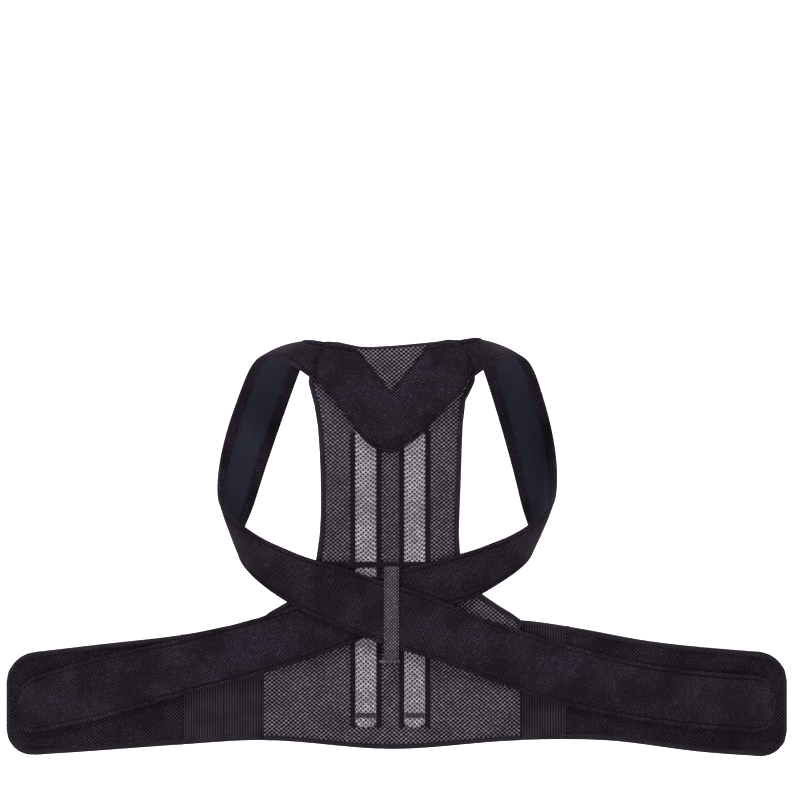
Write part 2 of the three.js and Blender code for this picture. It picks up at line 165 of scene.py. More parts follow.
def smooth_through(places: Array, values: Array) -> Curve:
    """A curve through points, cubic between each pair, with the slope of its neighbours' chord at each.

    Args:
        places: increasing positions, shape (n,).
        values: the values there, shape (n,) or (n, k).

    Returns:
        A function of an array of positions.
    """
    places = np.asarray(places, float)
    values = np.asarray(values, float)
    slopes = np.gradient(values, places, axis=0)

    def at(where: Array) -> Array:
        """The curve's values: Hermite cubics between the points."""
        where = np.clip(np.asarray(where, float), places[0], places[-1])
        cell = np.clip(np.searchsorted(places, where, side="right") - 1, 0, len(places) - 2)
        width = places[cell + 1] - places[cell]
        t = (where - places[cell]) / width
        if values.ndim > 1:
            width, t = width[..., None], t[..., None]
        h00, h10 = 2 * t**3 - 3 * t**2 + 1, t**3 - 2 * t**2 + t
        h01, h11 = -2 * t**3 + 3 * t**2, t**3 - t**2
        low, high = values[cell], values[cell + 1]
        return h00 * low + h10 * width * slopes[cell] + h01 * high + h11 * width * slopes[cell + 1]

    return at


def eased(points: Array, reach: int = 9) -> Array:
    """A path with its corners rounded: each point is the mean of its neighbours under one wave of a cosine.

    Args:
        points: the path, shape (n, 3), at even steps.
        reach: how many points on each side count.

    Returns:
        The path, which keeps its two ends.
    """
    weight = np.hanning(2 * reach + 3)[1:-1]
    before = 2 * points[0] - points[reach:0:-1]
    after = 2 * points[-1] - points[-2:-reach - 2:-1]
    padded = np.concatenate([before, points, after])
    return np.stack([np.convolve(column, weight / weight.sum(), "valid") for column in padded.T], axis=1)


def crowded(count: int, amount: float = 0.75) -> Array:
    """Numbers from 0 to 1, closer together at both ends: a mix of even steps and half a cosine wave."""
    even = np.linspace(0, 1, count)
    return (1 - amount) * even + amount * (1 - np.cos(np.pi * even)) / 2


def rounded(distance: Array, radius: float) -> Array:
    """The height of a quarter circle at a distance from its foot, as a share of its radius."""
    inside = 1 - np.clip(distance / radius, 0, 1)
    return np.sqrt(np.maximum(0.0, 1 - inside**2))


def ripple(x: Array, z: Array, seed: int, size: float) -> Array:
    """Soft unevenness between -1 and 1: a sum of six waves in random directions, about size long."""
    rng = np.random.default_rng(seed)
    total = np.zeros(np.broadcast(x, z).shape)
    for _ in range(6):
        angle, phase = rng.uniform(0, 2 * math.pi, 2)
        length = size * rng.uniform(0.7, 1.8)
        total += np.sin(2 * math.pi * (x * math.cos(angle) + z * math.sin(angle)) / length + phase)
    return total / 6


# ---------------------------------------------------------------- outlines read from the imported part


@dataclass
class Outline:
    """The lower and upper edge of a flat CAD piece, as smooth functions of x, or its sides as ones of z."""

    first: float
    last: float
    low: Curve
    high: Curve

    @staticmethod
    def cut(nodes: Sequence[str], along: int, across: int, at: Optional[Array] = None) -> "Outline":
        """Reads an outline off CAD nodes by cutting their edges with planes.

        Args:
            nodes: the CAD nodes' names; where there are several, their outlines are joined up.
            along: the axis that the outline runs along, 0 for x or 2 for z.
            across: the axis that it is measured on.
            at: where to cut, in millimetres; left out, at each of the mesh's own columns.

        Returns:
            The outline in millimetres.
        """
        found = []
        for node in nodes:
            mesh = bpy.data.objects[node].data
            points = np.empty(len(mesh.vertices) * 3, np.float32)
            mesh.vertices.foreach_get("co", points)
            points = points.reshape(-1, 3).astype(float) / MM
            pairs = np.empty(len(mesh.edges) * 2, np.int32)
            mesh.edges.foreach_get("vertices", pairs)
            start, end = points[pairs.reshape(-1, 2).T]
            places = np.unique(np.round(points[:, along], 1)) if at is None else at
            places = places[np.concatenate([[True], np.diff(places) > 0.35])]
            inner = np.clip(places, points[:, along].min() + 0.2, points[:, along].max() - 0.2)
            a, b = start[None, :, along] - inner[:, None], end[None, :, along] - inner[:, None]
            share = np.clip(a / np.where(np.abs(a - b) < 1e-9, 1.0, a - b), 0, 1)
            value = start[None, :, across] * (1 - share) + end[None, :, across] * share
            crossed = a * b <= 0
            low = np.where(crossed, value, np.inf).min(1)
            high = np.where(crossed, value, -np.inf).max(1)
            found.append(np.stack([places, low, high]))
        places, low, high = np.concatenate(found, axis=1)
        order = np.argsort(places)
        places, low, high = places[order], low[order], high[order]
        fresh = np.concatenate([[True], np.diff(places) > 0.35])
        places, low, high = places[fresh], low[fresh], high[fresh]
        return Outline(places[0], places[-1], smooth_through(places, low), smooth_through(places, high))


# ---------------------------------------------------------------- meshes


@dataclass
class Shape:
    """Collects the surfaces of one piece, in millimetres, and makes them one mesh."""

    vertices: list[Array] = field(default_factory=list)
    faces: list[Array] = field(default_factory=list)
    uvs: list[Array] = field(default_factory=list)
    finishes: list[Array] = field(default_factory=list)
    count: int = 0

    def add(self, points: Array, quads: Array, uv: Array, finish: int = 0) -> None:
        """Adds a surface.

        Args:
            points: vertices, shape (n, 3), in millimetres.
            quads: faces, shape (m, 4), numbered from 0.
            uv: one pair for each vertex, in millimetres of cloth.
            finish: which of the piece's materials it has.
        """
        self.vertices.append(points)
        self.faces.append(quads + self.count)
        self.uvs.append(uv)
        self.finishes.append(np.full(len(quads), finish))
        self.count += len(points)

    def build(self, name: str, materials: Sequence[bpy.types.Material]) -> bpy.types.Object:
        """Makes the object, in metres, with its UV map in metres of cloth."""
        points = np.concatenate(self.vertices) * MM
        quads = np.concatenate(self.faces).astype(np.int32)
        uv = np.concatenate(self.uvs) * MM
        mesh = bpy.data.meshes.new(name)
        mesh.vertices.add(len(points))
        mesh.vertices.foreach_set("co", points.astype(np.float32).ravel())
        mesh.loops.add(quads.size)
        mesh.loops.foreach_set("vertex_index", quads.ravel())
        mesh.polygons.add(len(quads))
        mesh.polygons.foreach_set("loop_start", np.arange(0, quads.size, 4, dtype=np.int32))
        mesh.polygons.foreach_set("material_index", np.concatenate(self.finishes).astype(np.int32))
        mesh.polygons.foreach_set("use_smooth", np.ones(len(quads), bool))
        layer = mesh.uv_layers.new(name=UV_NAME)
        layer.data.foreach_set("uv", uv[quads.ravel()].astype(np.float32).ravel())
        for material in materials:
            mesh.materials.append(material)
        mesh.update(calc_edges=True)
        mesh.validate()
        mesh.set_sharp_from_angle(angle=math.radians(65))
        piece = bpy.data.objects.new(name, mesh)
        bpy.context.scene.collection.objects.link(piece)
        return piece


def grid_quads(rows: int, columns: int) -> Array:
    """The faces of a grid whose vertices are numbered row by row, turning from a row to the next one."""
    first = (np.arange(rows - 1)[:, None] * columns + np.arange(columns - 1)).ravel()
    return np.stack([first, first + 1, first + columns + 1, first + columns], axis=1)


@dataclass
class Cloth:
    """A sheet with thickness: a middle surface on a grid of rows by columns, and its outward normals."""

    middle: Array
    outward: Array
    uv: Array

    @staticmethod
    def over(middle: Array, outward_hint: Array) -> "Cloth":
        """Finds a surface's normals and its measures as cloth.

        The normal is the cross product of the two grid directions, turned to the hint's side at the grid's
        last row. The uv is the distance across from the middle column, and along the middle column.
        """
        by_row = np.gradient(middle, axis=0)
        by_column = np.gradient(middle, axis=1)
        normal = np.cross(by_column, by_row)
        normal /= np.maximum(np.linalg.norm(normal, axis=2, keepdims=True), 1e-9)
        if np.mean(normal[-1] @ outward_hint) < 0:
            normal = -normal
        return Cloth(middle, normal, np.stack([Cloth._run(middle, 1), Cloth._run(middle, 0)], axis=2))

    @staticmethod
    def lying(x: Array, y: Array, z: Array) -> "Cloth":
        """A surface that lies along the brace's face: its uv is simply x and z, so patterns run straight."""
        cloth = Cloth.over(np.stack([x, y, z], axis=2), np.array([0.0, -1.0, 0.0]))
        return Cloth(cloth.middle, cloth.outward, np.stack([x, z], axis=2))

    @staticmethod
    def _run(points: Array, axis: int) -> Array:
        """The distance travelled along one grid direction, counted from its middle."""
        step = np.linalg.norm(np.diff(points, axis=axis), axis=2)
        pad = [(1, 0), (0, 0)] if axis == 0 else [(0, 0), (1, 0)]
        travelled = np.cumsum(np.pad(step, pad), axis=axis)
        middle = np.take(travelled, [travelled.shape[axis] // 2], axis=axis)
        return travelled - middle

    def edge_distance(self, ends: tuple[bool, bool] = (True, True)) -> Array:
        """How far each point is from the nearest edge; ends says whether the first and last rows count."""
        across, along = self.uv[..., 0], self.uv[..., 1]
        near = np.minimum(across - across[:, :1], across[:, -1:] - across)
        if ends[0]:
            near = np.minimum(near, along - along[:1])
        if ends[1]:
            near = np.minimum(near, along[-1:] - along)
        return near

    def thicken(self, shape: Shape, outer: Array, inner: Array, finish: int = 0,
                seam: Optional[Array] = None) -> None:
        """Adds the closed solid between two heights over and under the middle surface.

        Args:
            shape: what the solid is added to.
            outer: the outer face's height over the middle surface, on the grid.
            inner: the inner face's depth under it.
            finish: the material of the solid.
            seam: where the outer face has the next material instead, true or false on the grid; here that
                paints a dark band as painted shade in sewn grooves and along the yoke's edge.
        """
        rows, columns = self.middle.shape[:2]
        top = (self.middle + self.outward * outer[..., None]).reshape(-1, 3)
        bottom = (self.middle - self.outward * inner[..., None]).reshape(-1, 3)
        uv = self.uv.reshape(-1, 2)
        quads = grid_quads(rows, columns)
        count = rows * columns
        index = np.arange(count).reshape(rows, columns)
        rim = np.concatenate([index[0], index[1:, -1], index[-1, -2::-1], index[-2::-1, 0]])
        wall = np.stack([rim[1:], rim[:-1], rim[:-1] + count, rim[1:] + count], axis=1)
        cross = np.cross(self.middle[0, 1] - self.middle[0, 0], self.middle[1, 0] - self.middle[0, 0])
        if cross @ self.outward[0, 0] < 0:
            quads, wall = quads[:, ::-1], wall[:, ::-1]
        faces = np.concatenate([quads, quads[:, ::-1] + count, wall])
        points = np.concatenate([top, bottom])
        shape.add(points, faces, np.concatenate([uv, uv]), finish)
        if seam is not None:
            sewn = seam[:-1, :-1] & seam[1:, :-1] & seam[:-1, 1:] & seam[1:, 1:]
            shape.finishes[-1][:len(quads)][sewn.ravel()] = finish + 1

    def line(self, column: float, height: Array) -> tuple[Array, Array]:
        """The points and normals of a line along the rows, at a share of the width, on the outer face."""
        place = column * (self.middle.shape[1] - 1)
        low = int(np.clip(math.floor(place), 0, self.middle.shape[1] - 2))
        share = place - low
        face = self.middle + self.outward * height[..., None]
        points = face[:, low] * (1 - share) + face[:, low + 1] * share
        return points, self.outward[:, low]

    def rim_line(self, inset: float, height: Array, sign: int) -> tuple[Array, Array]:
        """The line at a distance inside one long edge, on the outer face; sign picks the edge."""
        across = self.uv[..., 0]
        edge = across[:, -1:] if sign > 0 else across[:, :1]
        column = np.argmin(np.abs(np.abs(edge - across) - inset), axis=1)
        row = np.arange(len(column))
        near = self.middle[row, column] + self.outward[row, column] * height[row, column, None]
        step = (np.abs(edge[:, 0] - across[row, column]) - inset)[:, None]
        cols = np.clip(column + sign, 0, across.shape[1] - 1)
        towards = self.middle[row, cols] - self.middle[row, column]
        towards /= np.maximum(np.linalg.norm(towards, axis=1, keepdims=True), 1e-9)
        return near + towards * step, self.outward[row, column]


@dataclass(frozen=True)
class Stitch:
    """A line of stitches: small rounded rods laid end to end with gaps, in millimetres."""

    pitch: float = 3.6
    length: float = 2.7
    radius: float = 0.34
    sides: int = 6
    rings: int = 5

    def sew(self, shape: Shape, points: Array, normals: Array, finish: int) -> None:
        """Lays stitches along a line of points.

        Each stitch is a surface of turning: at share t from -1 to 1 of its half length, its radius is
        radius times the square root of 1 - t^4. Its middle is where the line has gone a whole number of
        pitches.
        """
        step = np.linalg.norm(np.diff(points, axis=0), axis=1)
        travelled = np.concatenate([[0.0], np.cumsum(step)])
        middles = np.arange(self.pitch, travelled[-1] - self.pitch / 2, self.pitch)
        if len(middles) == 0:
            return
        at = np.stack([np.interp(middles, travelled, points[:, k]) for k in range(3)], axis=1)
        after = np.stack([np.interp(middles + 0.5, travelled, points[:, k]) for k in range(3)], axis=1)
        up = np.stack([np.interp(middles, travelled, normals[:, k]) for k in range(3)], axis=1)
        along = after - at
        along /= np.maximum(np.linalg.norm(along, axis=1, keepdims=True), 1e-9)
        up = up - along * np.sum(up * along, axis=1, keepdims=True)
        up /= np.maximum(np.linalg.norm(up, axis=1, keepdims=True), 1e-9)
        beside = np.cross(up, along)
        share = np.linspace(-0.999, 0.999, self.rings)
        ring = self.radius * np.sqrt(1 - share**4)
        angle = np.linspace(0, 2 * math.pi, self.sides, endpoint=False)
        local = np.stack([
            np.repeat(share * self.length / 2, self.sides),
            np.outer(ring, np.cos(angle)).ravel(),
            np.outer(ring, np.sin(angle)).ravel(),
        ], axis=1)
        axes = np.stack([along, beside, up], axis=1)
        rods = at[:, None, :] + np.einsum("mk,nkc->nmc", local, axes)
        row = np.arange(self.rings - 1)[:, None] * self.sides
        turn = np.arange(self.sides)
        following = (turn + 1) % self.sides
        quads = np.stack([row + turn, row + following, row + self.sides + following, row + self.sides + turn],
                         axis=2).reshape(-1, 4)
        last = (self.rings - 1) * self.sides
        fan = np.arange(1, self.sides - 2, 2)[:, None]
        first_cap = np.hstack([0 * fan, fan + 2, fan + 1, fan])
        last_cap = last + np.hstack([0 * fan, fan, fan + 1, fan + 2])
        quads = np.concatenate([quads, first_cap, last_cap])
        each = np.arange(len(middles))[:, None, None] * len(local)
        faces = (quads[None] + each).reshape(-1, 4)
        shape.add(rods.reshape(-1, 3), faces, np.zeros((rods.shape[0] * rods.shape[1], 2)), finish)


STITCH = Stitch()


# ---------------------------------------------------------------- finishes


class Wiring:
    """A material's node tree, with short calls for the nodes that the finishes use."""

    def __init__(self, name: str) -> None:
        """Starts a material with one Principled shader."""
        self.material = bpy.data.materials.new(name)
        self.material.use_nodes = True
        self.tree = self.material.node_tree
        self.tree.nodes.clear()
        self.shader = self.tree.nodes.new("ShaderNodeBsdfPrincipled")
        output = self.tree.nodes.new("ShaderNodeOutputMaterial")
        self.tree.links.new(self.shader.outputs["BSDF"], output.inputs["Surface"])

    def put(self, socket: bpy.types.NodeSocket, value: object) -> None:
        """Links a socket to another, or sets its value."""
        if isinstance(value, bpy.types.NodeSocket):
            self.tree.links.new(value, socket)
        else:
            socket.default_value = value

    def cloth(self) -> bpy.types.NodeSocket:
        """The cloth's own coordinates, in metres."""
        node = self.tree.nodes.new("ShaderNodeUVMap")
        node.uv_map = UV_NAME
        return node.outputs["UV"]

    def place(self) -> bpy.types.NodeSocket:
        """The point on the object, in metres."""
        return self.tree.nodes.new("ShaderNodeTexCoord").outputs["Object"]

    def math(self, operation: str, *values: object) -> bpy.types.NodeSocket:
        """A number from one to three numbers."""
        node = self.tree.nodes.new("ShaderNodeMath")
        node.operation = operation
        for socket, value in zip(node.inputs, values):
            self.put(socket, value)
        return node.outputs[0]

    def vector(self, operation: str, *values: object) -> bpy.types.NodeSocket:
        """A vector from one or two vectors, or the length of one."""
        node = self.tree.nodes.new("ShaderNodeVectorMath")
        node.operation = operation
        for socket, value in zip(node.inputs, values):
            self.put(socket, value)
        return node.outputs["Value" if operation == "LENGTH" else "Vector"]

    def noise(self, where: bpy.types.NodeSocket, scale: float, detail: float = 3.0) -> bpy.types.NodeSocket:
        """Noise from 0 to 1, with scale in lumps to the metre."""
        node = self.tree.nodes.new("ShaderNodeTexNoise")
        self.put(node.inputs["Vector"], where)
        node.inputs["Scale"].default_value = scale
        node.inputs["Detail"].default_value = detail
        return node.outputs["Fac"]

    def remap(self, value: bpy.types.NodeSocket, low: float, high: float, to_low: float = 0.0,
              to_high: float = 1.0) -> bpy.types.NodeSocket:
        """Moves a range of values smoothly onto another range."""
        node = self.tree.nodes.new("ShaderNodeMapRange")
        node.interpolation_type = "SMOOTHSTEP"
        self.put(node.inputs["Value"], value)
        for name, number in zip(("From Min", "From Max", "To Min", "To Max"), (low, high, to_low, to_high)):
            node.inputs[name].default_value = number
        return node.outputs["Result"]

    def mix(self, share: object, first: object, second: object) -> bpy.types.NodeSocket:
        """A colour between two."""
        node = self.tree.nodes.new("ShaderNodeMix")
        node.data_type = "RGBA"
        self.put(node.inputs["Factor"], share)
        self.put(node.inputs[6], first)
        self.put(node.inputs[7], second)
        return node.outputs[2]

    def bump(self, height: bpy.types.NodeSocket, depth: float, after: Optional[bpy.types.NodeSocket] = None
             ) -> bpy.types.NodeSocket:
        """A normal from a height of 0 to 1, whose 1 is depth in metres."""
        node = self.tree.nodes.new("ShaderNodeBump")
        node.inputs["Distance"].default_value = depth
        self.put(node.inputs["Height"], height)
        if after is not None:
            self.put(node.inputs["Normal"], after)
        return node.outputs["Normal"]

    def staggered(self, where: bpy.types.NodeSocket, pitch: tuple[float, float]) -> bpy.types.NodeSocket:
        """The distance to the nearest point of a staggered lattice, from 0 to about 0.5 of a cell.

        One square lattice stands on whole cells and another half a cell over and up; the nearer one counts.
        """
        cells = self.vector("DIVIDE", where, (pitch[0], pitch[1], 1.0))
        flat = self.vector("MULTIPLY", cells, (1.0, 1.0, 0.0))
        nearest = []
        for shift in (0.0, 0.5):
            moved = self.vector("ADD", flat, (shift, shift, 0.0))
            offset = self.vector("SUBTRACT", self.vector("FRACTION", moved), (0.5, 0.5, 0.0))
            nearest.append(self.vector("LENGTH", self.vector("MULTIPLY", offset, (1.0, 1.0, 0.0))))
        return self.math("MINIMUM", nearest[0], nearest[1])

    def wave(self, where: bpy.types.NodeSocket, axis: int, pitch: float, slant: float = 0.0
             ) -> bpy.types.NodeSocket:
        """A sine from 0 to 1 across one direction of the cloth, leaning by slant of the other one."""
        split = self.tree.nodes.new("ShaderNodeSeparateXYZ")
        self.put(split.inputs[0], where)
        along = self.math("MULTIPLY_ADD", split.outputs[1 - axis], slant, split.outputs[axis])
        turned = self.math("SINE", self.math("MULTIPLY", along, 2 * math.pi / pitch))
        return self.math("MULTIPLY_ADD", turned, 0.5, 0.5)

    def finish(self, colour: object, roughness: object, normal: Optional[bpy.types.NodeSocket],
               sheen: float = 0.0, metallic: float = 0.0, gloss: float = 0.03) -> bpy.types.Material:
        """Joins everything to the shader and gives the material."""
        self.put(self.shader.inputs["Base Color"], colour)
        self.put(self.shader.inputs["Roughness"], roughness)
        if normal is not None:
            self.put(self.shader.inputs["Normal"], normal)
        self.shader.inputs["Sheen Weight"].default_value = sheen
        self.shader.inputs["Sheen Roughness"].default_value = 0.45
        self.shader.inputs["Metallic"].default_value = metallic
        self.shader.inputs["Specular IOR Level"].default_value = gloss
        return self.material


Colour = tuple[float, float, float, float]


def grey(level: float, red: float = 1.0, green: float = 0.74, blue: float = 1.12) -> Colour:
    """A dark colour with a plum cast, from its level in linear light."""
    return (level * red, level * green, level * blue, 1.0)


def dimmed(colour: Colour, share: float) -> Colour:
    """A colour made darker, or lighter with a share over 1."""
    return tuple(share * part for part in colour[:3]) + (1.0,)


@dataclass(frozen=True)
class Knit:
    """A fine knit face laminated on foam: small staggered loops, a little uneven, with painted light on their
    tops and painted shade between them.
    """

    name: str
    top: Colour
    valley: Colour
    pitch: tuple[float, float] = (0.0044, 0.0036)
    depth: float = 0.0006
    wear: float = 0.32
    roughness: float = 0.75

    def build(self) -> bpy.types.Material:
        """Makes the material."""
        wires = Wiring(self.name)
        cloth = wires.cloth()
        loop = wires.remap(wires.staggered(cloth, self.pitch), 0.10, 0.40, 1.0, 0.0)
        fuzz = wires.noise(wires.place(), 1300.0)
        uneven = wires.noise(wires.place(), 26.0, 5.0)
        speck = wires.remap(wires.noise(wires.place(), 520.0, 2.0), 0.50, 0.68)
        height = wires.math("MULTIPLY_ADD", fuzz, 0.5, loop)
        # painted light and shade: the colour runs from the dark valley colour between the loops to the top
        # colour on them
        colour = wires.mix(wires.remap(height, 0.2, 1.1), self.valley, self.top)
        colour = wires.mix(wires.math("MULTIPLY", speck, self.wear), colour, dimmed(self.top, 2.6))
        colour = wires.mix(wires.remap(uneven, 0.35, 0.65, 0.0, 0.5), colour, self.valley)
        soft = wires.bump(uneven, 0.0012)
        return wires.finish(colour, self.roughness, wires.bump(height, self.depth, soft))


@dataclass(frozen=True)
class OpenMesh:
    """Spacer mesh: staggered holes with rounded bars between them, a layer showing in the holes, and painted
    highlights flecked over the bars.
    """

    name: str
    bar: Colour
    hole: Colour
    pitch: tuple[float, float]
    hole_size: float = 0.30
    depth: float = 0.0009
    blur: float = 0.10

    def build(self) -> bpy.types.Material:
        """Makes the material."""
        wires = Wiring(self.name)
        cloth = wires.cloth()
        wobble = wires.noise(wires.place(), 260.0, 2.0)
        far = wires.math("MULTIPLY_ADD", wobble, 0.06, wires.staggered(cloth, self.pitch))
        bar = wires.remap(far, self.hole_size, self.hole_size + self.blur)
        thread = wires.noise(wires.place(), 2600.0, 2.0)
        uneven = wires.noise(wires.place(), 30.0, 4.0)
        # painted highlights: random flecks where the bars keep their lit colour while the rest is darkened
        painted_glint = wires.remap(wires.noise(wires.place(), 430.0, 2.0), 0.42, 0.66)
        lit = wires.mix(wires.remap(thread, 0.35, 0.7), dimmed(self.bar, 0.45), self.bar)
        lit = wires.mix(painted_glint, dimmed(self.bar, 0.35), lit)
        colour = wires.mix(bar, self.hole, lit)
        colour = wires.mix(wires.remap(uneven, 0.35, 0.7, 0.0, 0.3), colour, self.hole)
        height = wires.math("MULTIPLY_ADD", thread, 0.15, bar)
        return wires.finish(colour, 0.8, wires.bump(height, self.depth))


@dataclass(frozen=True)
class Ribbed:
    """A woven band of ribs, crossed by fine threads, with painted shade in the valleys between the ribs."""

    name: str
    top: Colour
    valley: Colour
    pitch: float = 0.0026
    axis: int = 1
    thread: float = 0.0008
    depth: float = 0.0006
    roughness: float = 0.7

    def build(self) -> bpy.types.Material:
        """Makes the material."""
        wires = Wiring(self.name)
        cloth = wires.cloth()
        rib = wires.wave(cloth, self.axis, self.pitch)
        cross = wires.wave(cloth, 1 - self.axis, self.thread)
        uneven = wires.noise(wires.place(), 55.0, 4.0)
        height = wires.math("MULTIPLY_ADD", cross, 0.25, rib)
        # painted light and shade: darker from the ribs' tops down into the valleys between them
        colour = wires.mix(wires.remap(height, 0.1, 1.1), self.valley, self.top)
        colour = wires.mix(wires.remap(uneven, 0.35, 0.7, 0.0, 0.45), colour, self.valley)
        return wires.finish(colour, self.roughness, wires.bump(height, self.depth))


@dataclass(frozen=True)
class Brushed:
    """A smooth, slightly napped cloth with faint streaks."""

    name: str
    top: Colour
    valley: Colour
    sheen: float = 0.01

    def build(self) -> bpy.types.Material:
        """Makes the material."""
        wires = Wiring(self.name)
        place = wires.place()
        nap = wires.noise(place, 3200.0, 2.0)
        streak = wires.noise(wires.vector("MULTIPLY", wires.cloth(), (900.0, 120.0, 1.0)), 1.0, 3.0)
        broad = wires.noise(place, 22.0, 4.0)
        height = wires.math("MULTIPLY_ADD", streak, 0.5, nap)
        colour = wires.mix(wires.remap(height, 0.4, 1.1), self.valley, self.top)
        colour = wires.mix(wires.remap(broad, 0.35, 0.7, 0.0, 0.35), colour, self.valley)
        return wires.finish(colour, 0.88, wires.bump(height, 0.0002), self.sheen)


@dataclass(frozen=True)
class HookTape:
    """Moulded hook tape: a staggered field of small stiff hooks, with painted light on the hooks and painted
    shade on the base between them.
    """

    name: str = "hook_tape"
    hook: Colour = grey(0.03)
    base: Colour = grey(0.007)

    def build(self) -> bpy.types.Material:
        """Makes the material."""
        wires = Wiring(self.name)
        hook = wires.remap(wires.staggered(wires.cloth(), (0.0021, 0.0018)), 0.12, 0.3, 1.0, 0.0)
        grain = wires.noise(wires.place(), 1500.0)
        height = wires.math("MULTIPLY_ADD", grain, 0.2, hook)
        # painted light and shade: the hooks get the lighter colour, the base between them the darker one
        return wires.finish(wires.mix(hook, self.base, self.hook), 0.45, wires.bump(height, 0.0012))


@dataclass(frozen=True)
class Metal:
    """Brushed metal of a stay, with fine scratches along it."""

    name: str = "stay_metal"
    light: Colour = grey(0.5)
    dark: Colour = grey(0.3)

    def build(self) -> bpy.types.Material:
        """Makes the material."""
        wires = Wiring(self.name)
        scratch = wires.noise(wires.vector("MULTIPLY", wires.place(), (2200.0, 60.0, 60.0)), 1.0, 4.0)
        rough = wires.remap(scratch, 0.3, 0.7, 0.3, 0.5)
        colour = wires.mix(scratch, self.dark, self.light)
        return wires.finish(colour, rough, wires.bump(scratch, 0.0001), metallic=1.0)


@dataclass(frozen=True)
class Foam:
    """Open foam: small cells, with painted shade in their pits."""

    name: str = "spacer_foam"
    light: Colour = grey(0.09)
    dark: Colour = grey(0.02)

    def build(self) -> bpy.types.Material:
        """Makes the material."""
        wires = Wiring(self.name)
        node = wires.tree.nodes.new("ShaderNodeTexVoronoi")
        wires.put(node.inputs["Vector"], wires.place())
        node.inputs["Scale"].default_value = 700.0
        pit = wires.remap(node.outputs["Distance"], 0.1, 0.6)
        # painted shade: the pits in the cells get the dark colour
        return wires.finish(wires.mix(pit, self.dark, self.light), 0.95, wires.bump(pit, 0.0006))


class Finishes:
    """Every material of the brace, made once."""

    def __init__(self) -> None:
        """Builds the materials."""
        self.neoprene = Knit("neoprene_face", grey(0.0235, 1.0, 0.64, 1.12), grey(0.0012)).build()
        self.wing = Knit("wing_face", grey(0.019, 1.0, 0.70, 1.08), grey(0.0015),
                         pitch=(0.0048, 0.0042), depth=0.0010).build()
        self.mesh = OpenMesh("back_mesh", grey(0.34, 1.0, 0.80, 1.04), grey(0.004), (0.0054, 0.0046)).build()
        self.light_mesh = OpenMesh("keeper_mesh", grey(0.24, 1.0, 0.95, 1.0), grey(0.02),
                                   (0.0040, 0.0040)).build()
        self.stay_mesh = OpenMesh("stay_window", grey(0.56, 1.0, 0.91, 1.05), grey(0.012), (0.0056, 0.0052),
                                  hole_size=0.20, depth=0.0006, blur=0.16).build()
        self.elastic = Ribbed("ribbed_elastic", grey(0.034), grey(0.004), RIB_PITCH * MM, axis=0).build()
        trim = {"pitch": 0.0016, "thread": 0.0012}
        self.binding = Ribbed("edge_binding", grey(0.026), grey(0.006), depth=0.0004, **trim).build()
        self.tape = Ribbed("channel_tape", grey(0.014), grey(0.003), depth=0.0003, **trim).build()
        self.lining = Brushed("strap_lining", grey(0.022, 0.85, 0.90, 1.5),
                              grey(0.011, 0.85, 0.9, 1.5)).build()
        self.inner = Brushed("back_lining", grey(0.022, 0.95, 0.92, 1.15), grey(0.011)).build()
        twist = {"pitch": 0.0006, "thread": 0.0005}
        self.thread = Ribbed("sewing_thread", grey(0.004), grey(0.002), depth=0.0001, roughness=0.6,
                             **twist).build()
        self.pale_thread = Ribbed("pale_thread", grey(0.16, 1.0, 0.95, 1.0), grey(0.07), **twist).build()
        self.hook = HookTape().build()
        self.metal = Metal().build()
        self.foam = Foam().build()


# ---------------------------------------------------------------- how pieces are joined to the brace


@dataclass(frozen=True)
class Bend:
    """Two bodies that a piece of cloth lies between, with a start and an end point in millimetres."""

    first: str
    second: str
    start: tuple[float, float, float]
    end: tuple[float, float, float]

    @staticmethod
    def over(first: str, second: str, hinge_x: float, reach: float) -> "Bend":
        """A bend over a hinge across the belt, reaching as far to both sides; it turns outwards from it."""
        way = math.copysign(reach, hinge_x)
        return Bend(first, second, (hinge_x - way, 0.0, 0.0), (hinge_x + way, 0.0, 0.0))


def hand_over(piece: bpy.types.Object, body: str | Bend, nodes: Sequence[str] = ()) -> None:
    """Joins a finished piece to a body of the brace, or for a Bend only bakes its place, and reports it.

    Args:
        piece: the object, with its mesh final.
        body: the body that it moves with, or a Bend, whose piece is only baked where it lies and joins no
            body.
        nodes: the CAD nodes that it stands for.
    """
    if isinstance(body, Bend):
        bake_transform(piece)
    else:
        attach(piece, body)
    if nodes:
        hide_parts(*nodes)
    LOG.info("%s: %d faces", piece.name, len(piece.data.polygons))


def spread(low: Array, high: Array, share: Array) -> Array:
    """A grid of numbers between two edges: a row for each edge point and a column for each share."""
    return low[:, None] * (1 - share) + high[:, None] * share


def flat_cloth(outline: Outline, rows: int, columns: int, stand: Curve | float, thickness: float) -> Cloth:
    """The middle surface of a piece that lies on the brace's face, with its rows going up.

    Its points are x, z between the outline's edges, and y = -(face(x, z) + stand(x) + thickness / 2).
    """
    x = outline.first + (outline.last - outline.first) * crowded(columns)
    z = spread(outline.low(x), outline.high(x), crowded(rows)).T
    x = np.broadcast_to(x, z.shape)
    depth = stand(x) if callable(stand) else stand
    return Cloth.lying(x, -(POSTURE.face(x, z) + depth + thickness / 2), z)


